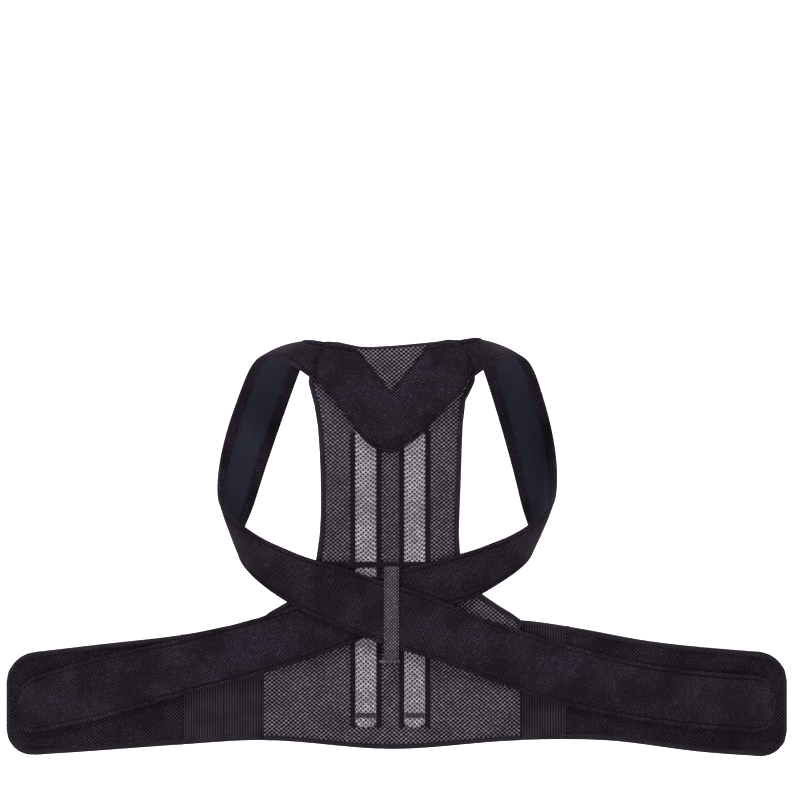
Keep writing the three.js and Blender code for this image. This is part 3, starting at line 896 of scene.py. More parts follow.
@dataclass(frozen=True)
class Roll:
    """A binding folded over an edge: a soft-cornered tube whose section is a superellipse, in millimetres."""

    width: float = 6.6
    corner: float = 2.6
    points: int = 20

    def lay(self, shape: Shape, path: Array, outward: Array, height: float, finish: int = 0) -> None:
        """Sweeps the section along a path.

        At angle a the section is at width / 2 * cos(a)^(2/n) beside the path and height / 2 * sin(a)^(2/n)
        over it, with the signs of the cosine and sine and n the corner number.
        """
        along = np.gradient(path, axis=0)
        along /= np.maximum(np.linalg.norm(along, axis=1, keepdims=True), 1e-9)
        beside = np.cross(outward, along)
        beside /= np.maximum(np.linalg.norm(beside, axis=1, keepdims=True), 1e-9)
        angle = np.linspace(0, 2 * math.pi, self.points, endpoint=False)
        power = 2 / self.corner
        across = self.width / 2 * np.sign(np.cos(angle)) * np.abs(np.cos(angle)) ** power
        over = height / 2 * np.sign(np.sin(angle)) * np.abs(np.sin(angle)) ** power
        taper = np.ones(len(path))
        taper[[0, -1]] = 0.02
        ring = across[:, None] * beside[:, None, :] + over[:, None] * outward[:, None, :]
        points = path[:, None, :] + ring * taper[:, None, None]
        rows = np.arange(len(path) - 1)[:, None] * self.points
        turn = np.arange(self.points)
        after = (turn + 1) % self.points
        quads = np.stack([rows + turn, rows + after, rows + self.points + after, rows + self.points + turn],
                         axis=2).reshape(-1, 4)
        run = np.concatenate([[0.0], np.cumsum(np.linalg.norm(np.diff(path, axis=0), axis=1))])
        girth = np.abs(angle / math.pi - 1) * (self.width + height)
        uv = np.stack(np.broadcast_arrays(girth[None, :], run[:, None]), axis=2).reshape(-1, 2)
        shape.add(points.reshape(-1, 3), quads, uv, finish)


def evened(path: Array, outward: Array, step: float = 1.8) -> tuple[Array, Array]:
    """A path and its normals taken again at even steps, with its first and last point doubled."""
    run = np.concatenate([[0.0], np.cumsum(np.linalg.norm(np.diff(path, axis=0), axis=1))])
    even = np.linspace(0, run[-1], max(4, int(run[-1] / step)))
    even = np.concatenate([even[:1], even[:1] + 0.05, even[1:-1], even[-1:] - 0.05, even[-1:]])
    points, normals = (np.stack([np.interp(even, run, part[:, k]) for k in range(3)], axis=1)
                       for part in (path, outward))
    return points, normals / np.linalg.norm(normals, axis=1, keepdims=True)


def bound_edge(name: str, path: Array, outward: Array, height: float, centre: Array,
               inset: tuple[float, float], finishes: Finishes) -> bpy.types.Object:
    """A binding rolled over an edge, with a line of stitches along it.

    Args:
        name: the piece's name.
        path: the edge's middle line, shape (n, 3).
        outward: the cloth's normals along it.
        height: how thick the roll is.
        centre: a point inside the edge, which the stitches lie towards.
        inset: how far the stitches are inside the path, and how far over it.
        finishes: the materials.

    Returns:
        The piece, not joined to the brace yet.
    """
    points, normals = evened(path, outward)
    shape = Shape()
    Roll().lay(shape, points, normals, height)
    inward = centre - points
    inward -= normals * np.sum(inward * normals, axis=1, keepdims=True)
    inward /= np.linalg.norm(inward, axis=1, keepdims=True)
    STITCH.sew(shape, points + inward * inset[0] + normals * inset[1], normals, 1)
    return shape.build(name, [finishes.binding, finishes.thread])


# ---------------------------------------------------------------- the back


@dataclass
class Back:
    """The hourglass panel with its stays, bindings, waist seam and keeper."""

    finishes: Finishes
    foot: float = 0.2
    belt_z: float = 62.0
    top_z: float = 383.0
    stay_x: tuple[float, float] = (-30.0, 26.0)
    window: float = 12.6
    tape: float = 5.2
    bar_z: float = -40.0
    window_z: float = -54.0
    seam_z: float = 133.0
    keeper_x: float = -0.5
    binding_top: float = 352.0
    neck_reach: float = 80.0
    mesh_stand: float = 5.6
    mesh_thick: float = 2.0
    rows: int = 150
    columns: int = 110
    waist_z: float = 130.0
    roll_over: float = 1.6
    climb: float = 1.6
    neck_climb: float = 6.0
    neck_ends: tuple[float, float] = (-86.0, 88.0)
    dip: float = 1.1
    dip_width: float = 9.0
    arc: float = 9.0
    window_bow: float = 0.35
    window_skin: tuple[float, float] = (7.55, 0.5)
    tape_skin: tuple[float, float] = (7.7, 0.7)
    bar_skin: tuple[float, float] = (8.0, 0.8)

    def __post_init__(self) -> None:
        """Reads the panel's outline."""
        self.ends = Outline.cut(["back_mesh_panel"], 0, 2)
        self.sides = Outline.cut(["back_mesh_panel"], 2, 0, np.linspace(self.belt_z, 372, 70))
        self.yoke_low = Outline.cut(["yoke"], 0, 2).low

    def grid(self, rows: int, columns: int, stand: float) -> Cloth:
        """The panel's surface: the belt part between its ends, and above it the waist and the neck.

        Above the belt z rises with r^climb for a share r of the rows, and the neck's curve comes in with
        r^neck_climb.
        """
        v = np.linspace(0, 1, rows)[:, None]
        u = crowded(columns, 0.5)[None, :]
        half = self.ends.last
        x_foot = np.broadcast_to((2 * u - 1) * half, (rows, columns))
        z_foot = self.ends.low(x_foot) + (self.belt_z - self.ends.low(x_foot)) * np.minimum(v / self.foot, 1)
        rise = np.clip((v - self.foot) / (1 - self.foot), 0, 1)
        z = self.belt_z + (self.top_z - self.belt_z) * rise**self.climb
        x = self.sides.low(z) * (1 - u) + self.sides.high(z) * u
        neck = self.ends.high(np.clip(x, *self.neck_ends))
        z = z + (neck - self.top_z) * rise**self.neck_climb
        below = v < self.foot
        x, z = np.where(below, x_foot, x), np.where(below, z_foot, z)
        return Cloth.lying(x, -(POSTURE.face(x, z) + stand), z)

    def build(self) -> None:
        """Makes every piece of the back."""
        self._panel()
        self._lining()
        for centre, side in zip(self.stay_x, Side):
            self._channel(centre, side)
        self._bindings()
        self._seam()
        self._keeper()
        for node, finish in (("spacer_core", self.finishes.foam), ("left_stay", self.finishes.metal),
                             ("right_stay", self.finishes.metal)):
            bpy.data.objects[node].data.materials.clear()
            bpy.data.objects[node].data.materials.append(finish)

    def _panel(self) -> None:
        """The outer mesh, dipping a little at its bound edge and soft with unevenness."""
        cloth = self.grid(self.rows, self.columns, self.mesh_stand + self.mesh_thick / 2)
        edge = cloth.edge_distance()
        x, z = cloth.middle[..., 0], cloth.middle[..., 2]
        dip = self.dip * (1 - smoothstep(edge, 0, self.dip_width))
        outer = self.mesh_thick / 2 + 0.25 * ripple(x, z, 3, 60) - dip
        shape = Shape()
        cloth.thicken(shape, outer, np.full(edge.shape, self.mesh_thick / 2 - 0.1))
        piece = shape.build("back_mesh", [self.finishes.mesh])
        hand_over(piece, "back", ["back_mesh_panel"])

    def _lining(self) -> None:
        """The smooth inner face."""
        cloth = self.grid(110, 70, LAYERS.lining / 2)
        x, z = cloth.middle[..., 0], cloth.middle[..., 2]
        half = np.full(x.shape, LAYERS.lining / 2)
        shape = Shape()
        cloth.thicken(shape, half, half + 0.15 * ripple(x, z, 5, 45))
        piece = shape.build("back_lining_cloth", [self.finishes.inner])
        hand_over(piece, "back", ["back_lining"])

    def _strip(self, shape: Shape, x: tuple[float, float], z: tuple[float, float], stand: Curve | float,
               thick: float, finish: int, crown: float = 0.0, arc: float = 0.0) -> Cloth:
        """Adds a strip lying on the panel, with soft edges, and gives its surface.

        A share s across from -1 to 1 bows outwards by crown * (1 - s^2), and at the lower end it starts
        arc * (1 - sqrt(1 - 0.96 s^2)) higher, so that the end is round.
        """
        across = np.linspace(x[0], x[1], max(13, int((x[1] - x[0]) / 3)))
        up = np.linspace(z[0], z[1], max(4, int((z[1] - z[0]) / 3)))
        grid_x, grid_z = np.meshgrid(across, up)
        stand = stand(grid_x) if callable(stand) else stand
        share = (2 * grid_x - x[0] - x[1]) / (x[1] - x[0])
        bow = crown * (1 - share**2)
        grid_z = grid_z + arc * (1 - np.sqrt(1 - 0.96 * share**2)) * (z[1] - grid_z) / (z[1] - z[0])
        y = -(POSTURE.face(grid_x, grid_z) + stand + thick / 2 + bow)
        cloth = Cloth.over(np.stack([grid_x, y, grid_z], axis=2), np.array([0.0, -1.0, 0.0]))
        soft = thick / 2 * rounded(cloth.edge_distance() + 0.15, 0.9)
        cloth.thicken(shape, soft, np.full(soft.shape, thick / 2), finish)
        return cloth

    def _channel(self, centre: float, side: Side) -> None:
        """The light mesh window over a stay, its two tapes and the bar sewn across its lower end."""
        top = float(self.yoke_low(np.array(centre))) + 10
        height = (self.window_z, top)
        shape = Shape()
        self._strip(shape, (centre - self.window, centre + self.window), height, *self.window_skin, 0,
                    self.window_bow, self.arc)
        for way in (-1, 1):
            sides = sorted((centre + way * (self.window - 0.6), centre + way * (self.window + self.tape)))
            tape = self._strip(shape, tuple(sides), height, *self.tape_skin, 1)
            for share in (0.2, 0.8):
                STITCH.sew(shape, *tape.line(share, np.full(tape.middle.shape[:2], 0.45)), 2)
        reach = self.window - 0.4
        bar_z = (self.bar_z - 3, self.bar_z + 3)
        bar = self._strip(shape, (centre - reach, centre + reach), bar_z, *self.bar_skin, 3)
        for row in (1, -2):
            STITCH.sew(shape, bar.middle[row] + bar.outward[row] * 0.6, bar.outward[row], 2)
        dress = self.finishes
        piece = shape.build(f"{side.word}_stay_channel", [dress.stay_mesh, dress.tape, dress.thread,
                                                          dress.light_mesh])
        hand_over(piece, "back", [f"{side.word}_channel_tape"])

    def _bindings(self) -> None:
        """The rolls over the panel's four edges, each with a line of stitches."""
        cloth = self.grid(self.rows, self.columns, LAYERS.panel_outer / 2)
        foot = int(self.foot * self.rows)
        sides = slice(foot, int(np.argmax(cloth.middle[:, 0, 2] > self.binding_top)))
        neck = np.flatnonzero(np.abs(cloth.middle[-1, :, 0]) < self.neck_reach)
        edges = {
            "neck_binding": (cloth.middle[-1, neck], cloth.outward[-1, neck]),
            "right_side_binding": (cloth.middle[sides, -1], cloth.outward[sides, -1]),
            "left_side_binding": (cloth.middle[sides, 0], cloth.outward[sides, 0]),
            "hem_binding": (cloth.middle[0], cloth.outward[0]),
        }
        centre = np.array([0.0, 0.0, self.waist_z])
        for node, (path, outward) in edges.items():
            piece = bound_edge(f"{node}_roll", path, outward, LAYERS.panel_outer + self.roll_over, centre,
                               (2.0, LAYERS.panel_outer / 2 + 0.55), self.finishes)
            hand_over(piece, "back", [node])

    def _seam(self) -> None:
        """The dark line sewn across the waist, above the crossed straps."""
        z = np.array([self.seam_z])
        ends = float(self.sides.low(z)[0]) + 3, float(self.sides.high(z)[0]) - 3
        shape = Shape()

        def stand(x: Array) -> Array:
            """Up over the keeper's upper foot, which it holds down."""
            return 8.3 + 2.6 * (1 - smoothstep(np.abs(x - self.keeper_x), 9, 15))

        tape = self._strip(shape, ends, (self.seam_z - 3.4, self.seam_z + 3.4), stand, 0.8, 0)
        STITCH.sew(shape, tape.middle[2] + tape.outward[2] * 0.35, tape.outward[2], 1)
        piece = shape.build("waist_seam", [self.finishes.tape, self.finishes.thread])
        hand_over(piece, "back")

    def _keeper(self) -> None:
        """The mesh strip over the crossed straps, folded under at its foot, and the bar sewn there."""
        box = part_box("strap_keeper")
        low, high = (round(corner.x / MM, 2) for corner in box)
        bottom, top = (corner.z / MM for corner in box)
        across = low + (high - low) * crowded(15)
        up = np.linspace(bottom, top, 70)
        x, z = np.meshgrid(across, up)
        lift = LAYERS.keeper - LAYERS.trim
        raised = smoothstep(z, bottom + 5, bottom + 15) - smoothstep(z, top - 12, top - 5)
        stand = LAYERS.trim + lift * raised
        bow = 0.8 * (1 - ((2 * x - low - high) / (high - low)) ** 2)
        y = -(POSTURE.face(x, z) + stand + 0.75 + bow)
        cloth = Cloth.over(np.stack([x, y, z], axis=2), np.array([0.0, -1.0, 0.0]))
        soft = 0.75 * rounded(cloth.edge_distance() + 0.2, 1.0)
        shape = Shape()
        cloth.thicken(shape, soft, soft)
        for sign in (-1, 1):
            STITCH.sew(shape, *cloth.rim_line(1.8, soft, sign), 1)
        piece = shape.build("keeper_strip", [self.finishes.light_mesh, self.finishes.thread])
        hand_over(piece, "back", ["strap_keeper"])
        shape = Shape()
        self._strip(shape, (low - 6, high + 1), (bottom + 1, bottom + 3.4), 9.6, 1.1, 0)
        piece = shape.build("keeper_bartack", [self.finishes.pale_thread])
        hand_over(piece, "back")


# ---------------------------------------------------------------- the yoke


@dataclass
class Yoke:
    """The padded V at the shoulders, raised over the straps under it, and the mesh triangle in its notch."""

    finishes: Finishes
    thick: float = 3.2
    lift: float = 3.2
    lift_from: float = 44.0
    lift_to: float = 72.0
    hem: float = 4.5
    puff: float = 3.0
    # the width of the dark band painted round the pad's edge: painted shade along the edge
    piping: float = 1.3
    end_radius: float = 16.0
    notch_x: float = -1.0
    notch_z: float = 332.0
    notch_slope: float = 1.25
    mesh_reach: float = 45.0

    def build(self) -> None:
        """Makes the pad and the triangle."""
        self.neck = Outline.cut(["back_mesh_panel"], 0, 2).high
        self._pad()
        self._mesh()

    def _notch(self, x: Array) -> Array:
        """The V between the shoulders: it climbs from its lowest point to both sides."""
        return self.notch_z + self.notch_slope * np.abs(x - self.notch_x)

    def _stand(self, x: Array) -> Array:
        """The pad's inner face: on the panel in the middle, over the straps at both ends."""
        return LAYERS.trim + self.lift * smoothstep(np.abs(x), self.lift_from, self.lift_to)

    def _pad(self) -> None:
        """The V, puffed between its sewn edges."""
        cut = Outline.cut(["yoke"], 0, 2)
        first, last = cut.first, cut.last
        outline = Outline(first, last, cut.low, lambda x: np.minimum(self.neck(x), self._notch(x)))

        def drawn_in(x: Array) -> Array:
            """How much each edge gives way to the round end: a quarter circle of the end radius."""
            left = self.end_radius - np.clip(np.minimum(x - first, last - x), 0, self.end_radius)
            return self.end_radius - np.sqrt(np.maximum(0.0, self.end_radius**2 - left**2))

        def limit(x: Array) -> Array:
            """Half the room between the edges, less a short straight end."""
            return np.maximum(0.0, (outline.high(x) - outline.low(x)) / 2 - 2)

        shaped = Outline(first, last, lambda x: outline.low(x) + np.minimum(drawn_in(x), limit(x)),
                         lambda x: outline.high(x) - np.minimum(drawn_in(x), limit(x)))
        cloth = flat_cloth(shaped, 50, 140, self._stand, self.thick)
        edge = cloth.edge_distance()
        x, z = cloth.middle[..., 0], cloth.middle[..., 2]
        puff = self.puff * smoothstep(edge, self.hem - 1, self.hem + 17) + 0.45 * ripple(x, z, 11, 34)
        groove = 0.9 * np.exp(-(((edge - self.hem) / 1.3) ** 2))
        outer = self.thick / 2 * rounded(edge + 0.1, 1.8) + puff * smoothstep(edge, 0, 3) - groove
        shape = Shape()
        # painted shade: the thread's dark colour fills the groove at the hem and a band round the pad's edge
        sewn = (np.abs(edge - self.hem) < 0.9) | (edge < self.piping)
        cloth.thicken(shape, outer, np.full(edge.shape, self.thick / 2), seam=sewn)
        for row in (0, -1):
            STITCH.sew(shape, *self._hem_line(cloth, outer, row), 1)
        piece = shape.build("yoke_pad", [self.finishes.neoprene, self.finishes.thread])
        hand_over(piece, "back", ["yoke"])

    def _hem_line(self, cloth: Cloth, outer: Array, row: int) -> tuple[Array, Array]:
        """The line along the hem inside the lower or upper edge, on the outer face."""
        run = np.abs(cloth.uv[..., 1] - cloth.uv[row, :, 1])
        near = np.argmin(np.abs(run - self.hem), axis=0)[3:-3]
        column = np.arange(cloth.middle.shape[1])[3:-3]
        lift = outer[near, column][:, None]
        return cloth.middle[near, column] + cloth.outward[near, column] * lift, cloth.outward[near, column]

    def _mesh(self) -> None:
        """The triangle of light mesh at the neck."""
        outline = Outline(-self.mesh_reach, self.mesh_reach,
                          lambda x: np.minimum(self._notch(x) - 1, self.neck(x) - 2),
                          lambda x: self.neck(x) - 0.3)
        cloth = flat_cloth(outline, 30, 90, LAYERS.trim - 0.2, 1.6)
        edge = cloth.edge_distance()
        outer = 0.8 * rounded(edge + 0.2, 1.5) + 0.9 * smoothstep(edge, 1, 14)
        shape = Shape()
        cloth.thicken(shape, outer, np.full(edge.shape, 0.8))
        piece = shape.build("yoke_mesh", [self.finishes.mesh])
        hand_over(piece, "back", ["yoke_mesh_insert"])


# ---------------------------------------------------------------- the straps


@dataclass(frozen=True)
class Sew:
    """How a strap's edge is made, in millimetres."""

    inset: float = 5.2
    groove: float = 0.55
    groove_width: float = 1.1
    edge_radius: float = 2.3
    puff: float = 0.3


@dataclass
class Strap:
    """A shoulder strap: from under the yoke round the arm, over the waist and along the other wing.

    Its shoulder part is drawn between two edge curves through stations, each with its neck edge and its
    outer edge. The rest lies on the brace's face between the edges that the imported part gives.
    """

    side: Side
    finishes: Finishes
    stand: float
    hinges: tuple[float, float]
    end_x: float
    cross_end: float = 110.0
    bend: float = 22.0
    run_beyond: float = 43.0
    peel: tuple[float, float] = (322.0, 346.0)
    onto_panel: tuple[float, float] = (70.0, 115.0)
    onto_belt: tuple[float, float] = (150.0, 192.0)
    onto_tail: tuple[float, float] = (335.0, 370.0)
    loft: float = 13.0
    upper_loft: float = 6.5
    shoulder_rise: float = 2.5
    half: float = 1.35
    full_half: float = 2.1
    tail_seam: float = 54.0
    crown: float = 5.0
    columns: int = 61
    step: float = 2.5
    taper: float = 0.1
    sew: Sew = Sew()

    def __post_init__(self) -> None:
        """Reads the strap's edges along the belt."""
        word = self.side.word
        self.nodes = {part: f"{word}_strap_{part}" for part in ("loop", "crossing", "side", "run", "tail")}
        flat = [self.nodes[part] for part in ("crossing", "side", "run", "tail")]
        self.edges = Outline.cut(flat, 0, 2)

    def build(self) -> None:
        """Makes every piece of the strap."""
        away = self.side.other
        word, far = self.side.word, away.word
        first, second = self.hinges
        self._shoulder()
        middle, run_end = (first + second) / 2, second + self.bend + self.run_beyond
        start, end = ((away.value * x, 0.0, 0.0) for x in self.peel)
        zones = (
            ("over_side", "side", (self.cross_end, middle),
             Bend.over("back", f"{far}_side", away.value * first, self.bend)),
            ("over_wing", "run", (middle, run_end),
             Bend.over(f"{far}_side", f"{far}_wing", away.value * second, self.bend)),
            ("end", "tail", (run_end, self.end_x), Bend(f"{far}_wing", f"{word}_tail", start, end)),
        )
        for name, node, ends, bend in zones:
            self._belt_part(f"{word}_strap_{name}", ends, bend, [self.nodes[node]])

    def _lie(self, x: Array) -> Array:
        """The inner face's stand: it sinks to the panel, then to the belt, and rises at the tail."""
        own = x * self.side.value > 0
        out = np.abs(x)
        on_panel = self.stand + (LAYERS.trim - self.stand) * smoothstep(out, *self.onto_panel)
        on_belt = on_panel + (LAYERS.run - on_panel) * smoothstep(out, *self.onto_belt)
        tail = on_belt + (LAYERS.tail - LAYERS.run) * smoothstep(out, *self.onto_tail)
        return np.where(own, self.stand, tail)

    def _face_y(self, x: Array, z: Array) -> Array:
        """The middle surface where the strap lies on the brace: y = -(face + stand + half)."""
        return -(POSTURE.face(x, z) + self._lie(x) + self.half)

    def _stations(self) -> tuple[Array, Array, int]:
        """The shoulder part's edges.

        The left loop's stations are given; the right one's are their mirror image, narrower towards the
        foot, where it lies one strap lower and a little higher up.

        Returns:
            Neck edge points, outer edge points, and the foot's place in them.
        """
        loop = np.array([
            [[-50, -28, 384], [-60, -30.5, 330]], [[-73, -26, 388], [-80, -30, 337]],
            [[-88, -24, 390.5], [-98, -29, 351]], [[-97, -8, 391], [-117, -18, 364]],
            [[-100, 15, 389], [-136, 2, 372]], [[-100, 36, 383], [-152, 25, 371]],
            [[-103, 54, 368], [-164, 46, 360]], [[-111, 69, 348], [-173, 63, 343]],
            [[-120, 80, 324], [-182, 75, 321]], [[-132, 87, 291], [-193, 82, 290]],
            [[-144, 90, 256], [-201, 74, 256]], [[-156, 87, 220], [-203, 55, 231]],
            [[-165, 78, 191], [-202, 38, 214]], [[-176, 60, 165], [-197, 24, 199]],
            [[-177, 41, 140], [-174, 9, 179]], [[-161, 20, 118], [-147, -3, 162]],
            [[-133, 2, 97], [-121, -11, 151]], [[-104, -13.8, 81], [-104, -15, 144]],
        ])
        if self.side is Side.RIGHT:
            share = np.linspace(0, 1, len(loop))[:, None]
            width = 1 - self.taper * (1 - np.clip((loop[..., 2] - 100) / 280, 0, 1))
            low, high = smoothstep(share, 0.75, 1), 1 - smoothstep(share, 0, 0.25)
            loop[..., 0] = -loop[..., 0] * width + 3 * high * (loop[..., 2] > 385 - 60 * share)
            loop[..., 1] += low * (LAYERS.left_strap - LAYERS.right_strap)
            rise = self.shoulder_rise * smoothstep(loop[..., 2], 370, 388)
            loop[..., 2] += low * np.array([self.loft, self.upper_loft]) + rise
        x = self.side.value * np.array([78.0, 52.0, 26.0, 0.0, -30.0, -60.0, -90.0, -self.cross_end])
        low, high = self.edges.low(x), self.edges.high(x)
        near = np.stack([x, self._face_y(x, low), low], axis=1)
        far = np.stack([x, self._face_y(x, high), high], axis=1)
        return np.concatenate([loop[:, 0], near]), np.concatenate([loop[:, 1], far]), len(loop) - 1

    def _shoulder_cloth(self) -> tuple[Cloth, Array, dict[str, float]]:
        """The shoulder part's surface: straight across between its two edges, then bowed outwards.

        A share u across bows by crown * (1 - (2 u - 1)^2) where the strap is free of the brace.

        Returns:
            The middle surface, how far along each row is, and where its stages are.
        """
        near, far, foot = self._stations()
        middle = (near + far) / 2
        run = np.concatenate([[0.0], np.cumsum(np.linalg.norm(np.diff(middle, axis=0), axis=1))])
        at = np.linspace(0, run[-1], int(run[-1] / self.step))
        low, high = eased(smooth_through(run, near)(at)), eased(smooth_through(run, far)(at))
        u = crowded(self.columns, 0.6)
        points = low[:, None] * (1 - u[:, None]) + high[:, None] * u[:, None]
        stages = {"leave": run[2], "foot": run[foot]}
        lying = smoothstep(at, run[foot] - 8, run[foot + 1])[:, None]
        flat = self._face_y(points[..., 0], points[..., 2])
        points[..., 1] = points[..., 1] * (1 - lying) + flat * lying
        cloth = Cloth.over(points, np.array([0.0, -1.0, 0.0]))
        raised = smoothstep(at, run[2], run[5]) * (1 - smoothstep(at, run[foot] - 120, run[foot] - 20))
        bow = self.crown * raised[:, None] * (1 - (2 * u - 1) ** 2)
        wave = 0.8 * raised[:, None] * ripple(at[:, None], 60 * u[None, :], 20 + self.side.value, 120)
        cloth = Cloth.over(points + cloth.outward * (bow + wave)[..., None], np.array([0.0, -1.0, 0.0]))
        return cloth, at, stages

    def _heights(self, cloth: Cloth, half: Array, ends: tuple[bool, bool], seed: int) -> tuple[Array, Array]:
        """The outer and inner heights: rounded edges, a slight puff, and a groove along the stitches."""
        edge = cloth.edge_distance(ends)
        groove = self.sew.groove * np.exp(-(((edge - self.sew.inset) / self.sew.groove_width) ** 2))
        soft = rounded(edge + 0.12, self.sew.edge_radius)
        puff = self.sew.puff * smoothstep(edge, self.sew.inset, self.sew.inset + 10)
        uneven = 0.12 * ripple(cloth.uv[..., 0], cloth.uv[..., 1], seed, 26) * smoothstep(edge, 2, 8)
        return half * soft + puff + uneven - groove, half * soft

    def _seam(self, cloth: Cloth, ends: tuple[bool, bool]) -> Array:
        """Where the sewn groove is, which gets the dark thread material as painted shade in the groove."""
        return np.abs(cloth.edge_distance(ends) - self.sew.inset) < 1.0

    def _shoulder(self) -> None:
        """The padded part from the yoke round the arm and over the waist, and its lining."""
        cloth, at, stages = self._shoulder_cloth()
        full = smoothstep(at, stages["leave"] - 30, stages["leave"] + 40)
        full = full * (1 - smoothstep(at, stages["foot"] - 110, stages["foot"] - 15))
        half = (self.half + (self.full_half - self.half) * full)[:, None] * np.ones((1, self.columns))
        outer, inner = self._heights(cloth, half, (True, False), 31)
        shape = Shape()
        # painted shade: the groove along the stitches gets the dark thread material
        cloth.thicken(shape, outer, inner, seam=self._seam(cloth, (True, False)))
        for sign in (-1, 1):
            STITCH.sew(shape, *cloth.rim_line(self.sew.inset, outer, sign), 1)
        word = self.side.word
        piece = shape.build(f"{word}_shoulder_strap", [self.finishes.neoprene, self.finishes.thread])
        hand_over(piece, self._swing(), [self.nodes["loop"], self.nodes["crossing"]])
        self._lining(cloth, half, at, stages)

    def _swing(self) -> Bend:
        """The bend from the back to the loop, across the vertical edge of the back."""
        sign = self.side.value
        width = 1.0 if self.side is Side.LEFT else 1 - self.taper
        start = (sign * 92.0 * width, -14.0, 200.0)
        return Bend("back", f"{self.side.word}_loop", start, (sign * 125.0 * width, 6.0, 200.0))

    def _lining(self, cloth: Cloth, half: Array, at: Array, stages: dict[str, float]) -> None:
        """The smooth lining along the middle of the loop's inner face."""
        rows = np.flatnonzero((at > stages["leave"] + 4) & (at < stages["foot"] - 4))
        width = cloth.uv[..., 0] - cloth.uv[:, :1, 0]
        share = width[rows] / width[rows, -1:]
        inside = np.flatnonzero((share.mean(0) > 0.2) & (share.mean(0) < 0.8))
        pick = np.ix_(rows, inside)
        outward = cloth.outward[pick]
        surface = cloth.middle[pick] - outward * (half[pick] + 0.45)[..., None]
        hint = outward[-1].mean(axis=0)
        lining = Cloth.over(surface, hint)
        edge = lining.edge_distance()
        shape = Shape()
        soft = 0.35 + 0.25 * ripple(lining.uv[..., 0], lining.uv[..., 1], 17, 40)
        lining.thicken(shape, np.full(edge.shape, 0.4), 0.15 + soft * rounded(edge, 3.0))
        for sign in (-1, 1):
            points, normals = lining.rim_line(2.0, -0.45 * np.ones(edge.shape), sign)
            STITCH.sew(shape, points, normals, 1)
        piece = shape.build(f"{self.side.word}_shoulder_lining", [self.finishes.lining, self.finishes.thread])
        hand_over(piece, self._swing(), [f"{self.side.word}_strap_lining"])

    def _belt_part(self, name: str, ends: tuple[float, float], bend: Bend, nodes: Sequence[str]) -> None:
        """A length of strap that lies along the belt, between two distances from the middle."""
        sign = self.side.other.value
        tail = ends[1] == self.end_x
        count = max(8, int((ends[1] - ends[0]) / self.step * (1.6 if tail else 1.0)))
        along = ends[0] + (ends[1] - ends[0]) * (crowded(count, 0.7) if tail else np.linspace(0, 1, count))
        x = sign * along
        low, high = self.edges.low(x), self.edges.high(x)
        z = spread(low, high, crowded(self.columns, 0.6))
        x = np.broadcast_to(x[:, None], z.shape)
        cloth = Cloth.over(np.stack([x, self._face_y(x, z), z], axis=2), np.array([0.0, -1.0, 0.0]))
        half = np.full(z.shape, self.half)
        outer, inner = self._heights(cloth, half, (False, tail), 37)
        if tail:
            beyond = self.end_x - np.abs(x)
            outer = outer - 0.5 * np.exp(-(((beyond - self.tail_seam) / 1.3) ** 2))
        shape = Shape()
        # painted shade: the groove along the stitches gets the dark thread material
        cloth.thicken(shape, outer, inner, seam=self._seam(cloth, (False, tail)))
        for side in (-1, 1):
            points, normals = cloth.rim_line(self.sew.inset, outer, side)
            keep = self.end_x - np.abs(points[:, 0]) > 14
            STITCH.sew(shape, points[keep], normals[keep], 1)
        if tail:
            row = int(np.argmin(np.abs(self.end_x - along - self.tail_seam)))
            seam = cloth.middle[row, 5:-5] + cloth.outward[row, 5:-5] * outer[row, 5:-5, None]
            STITCH.sew(shape, seam, cloth.outward[row, 5:-5], 1)
        piece = shape.build(name, [self.finishes.neoprene, self.finishes.thread])
        hand_over(piece, bend, nodes)


# ---------------------------------------------------------------- the belt


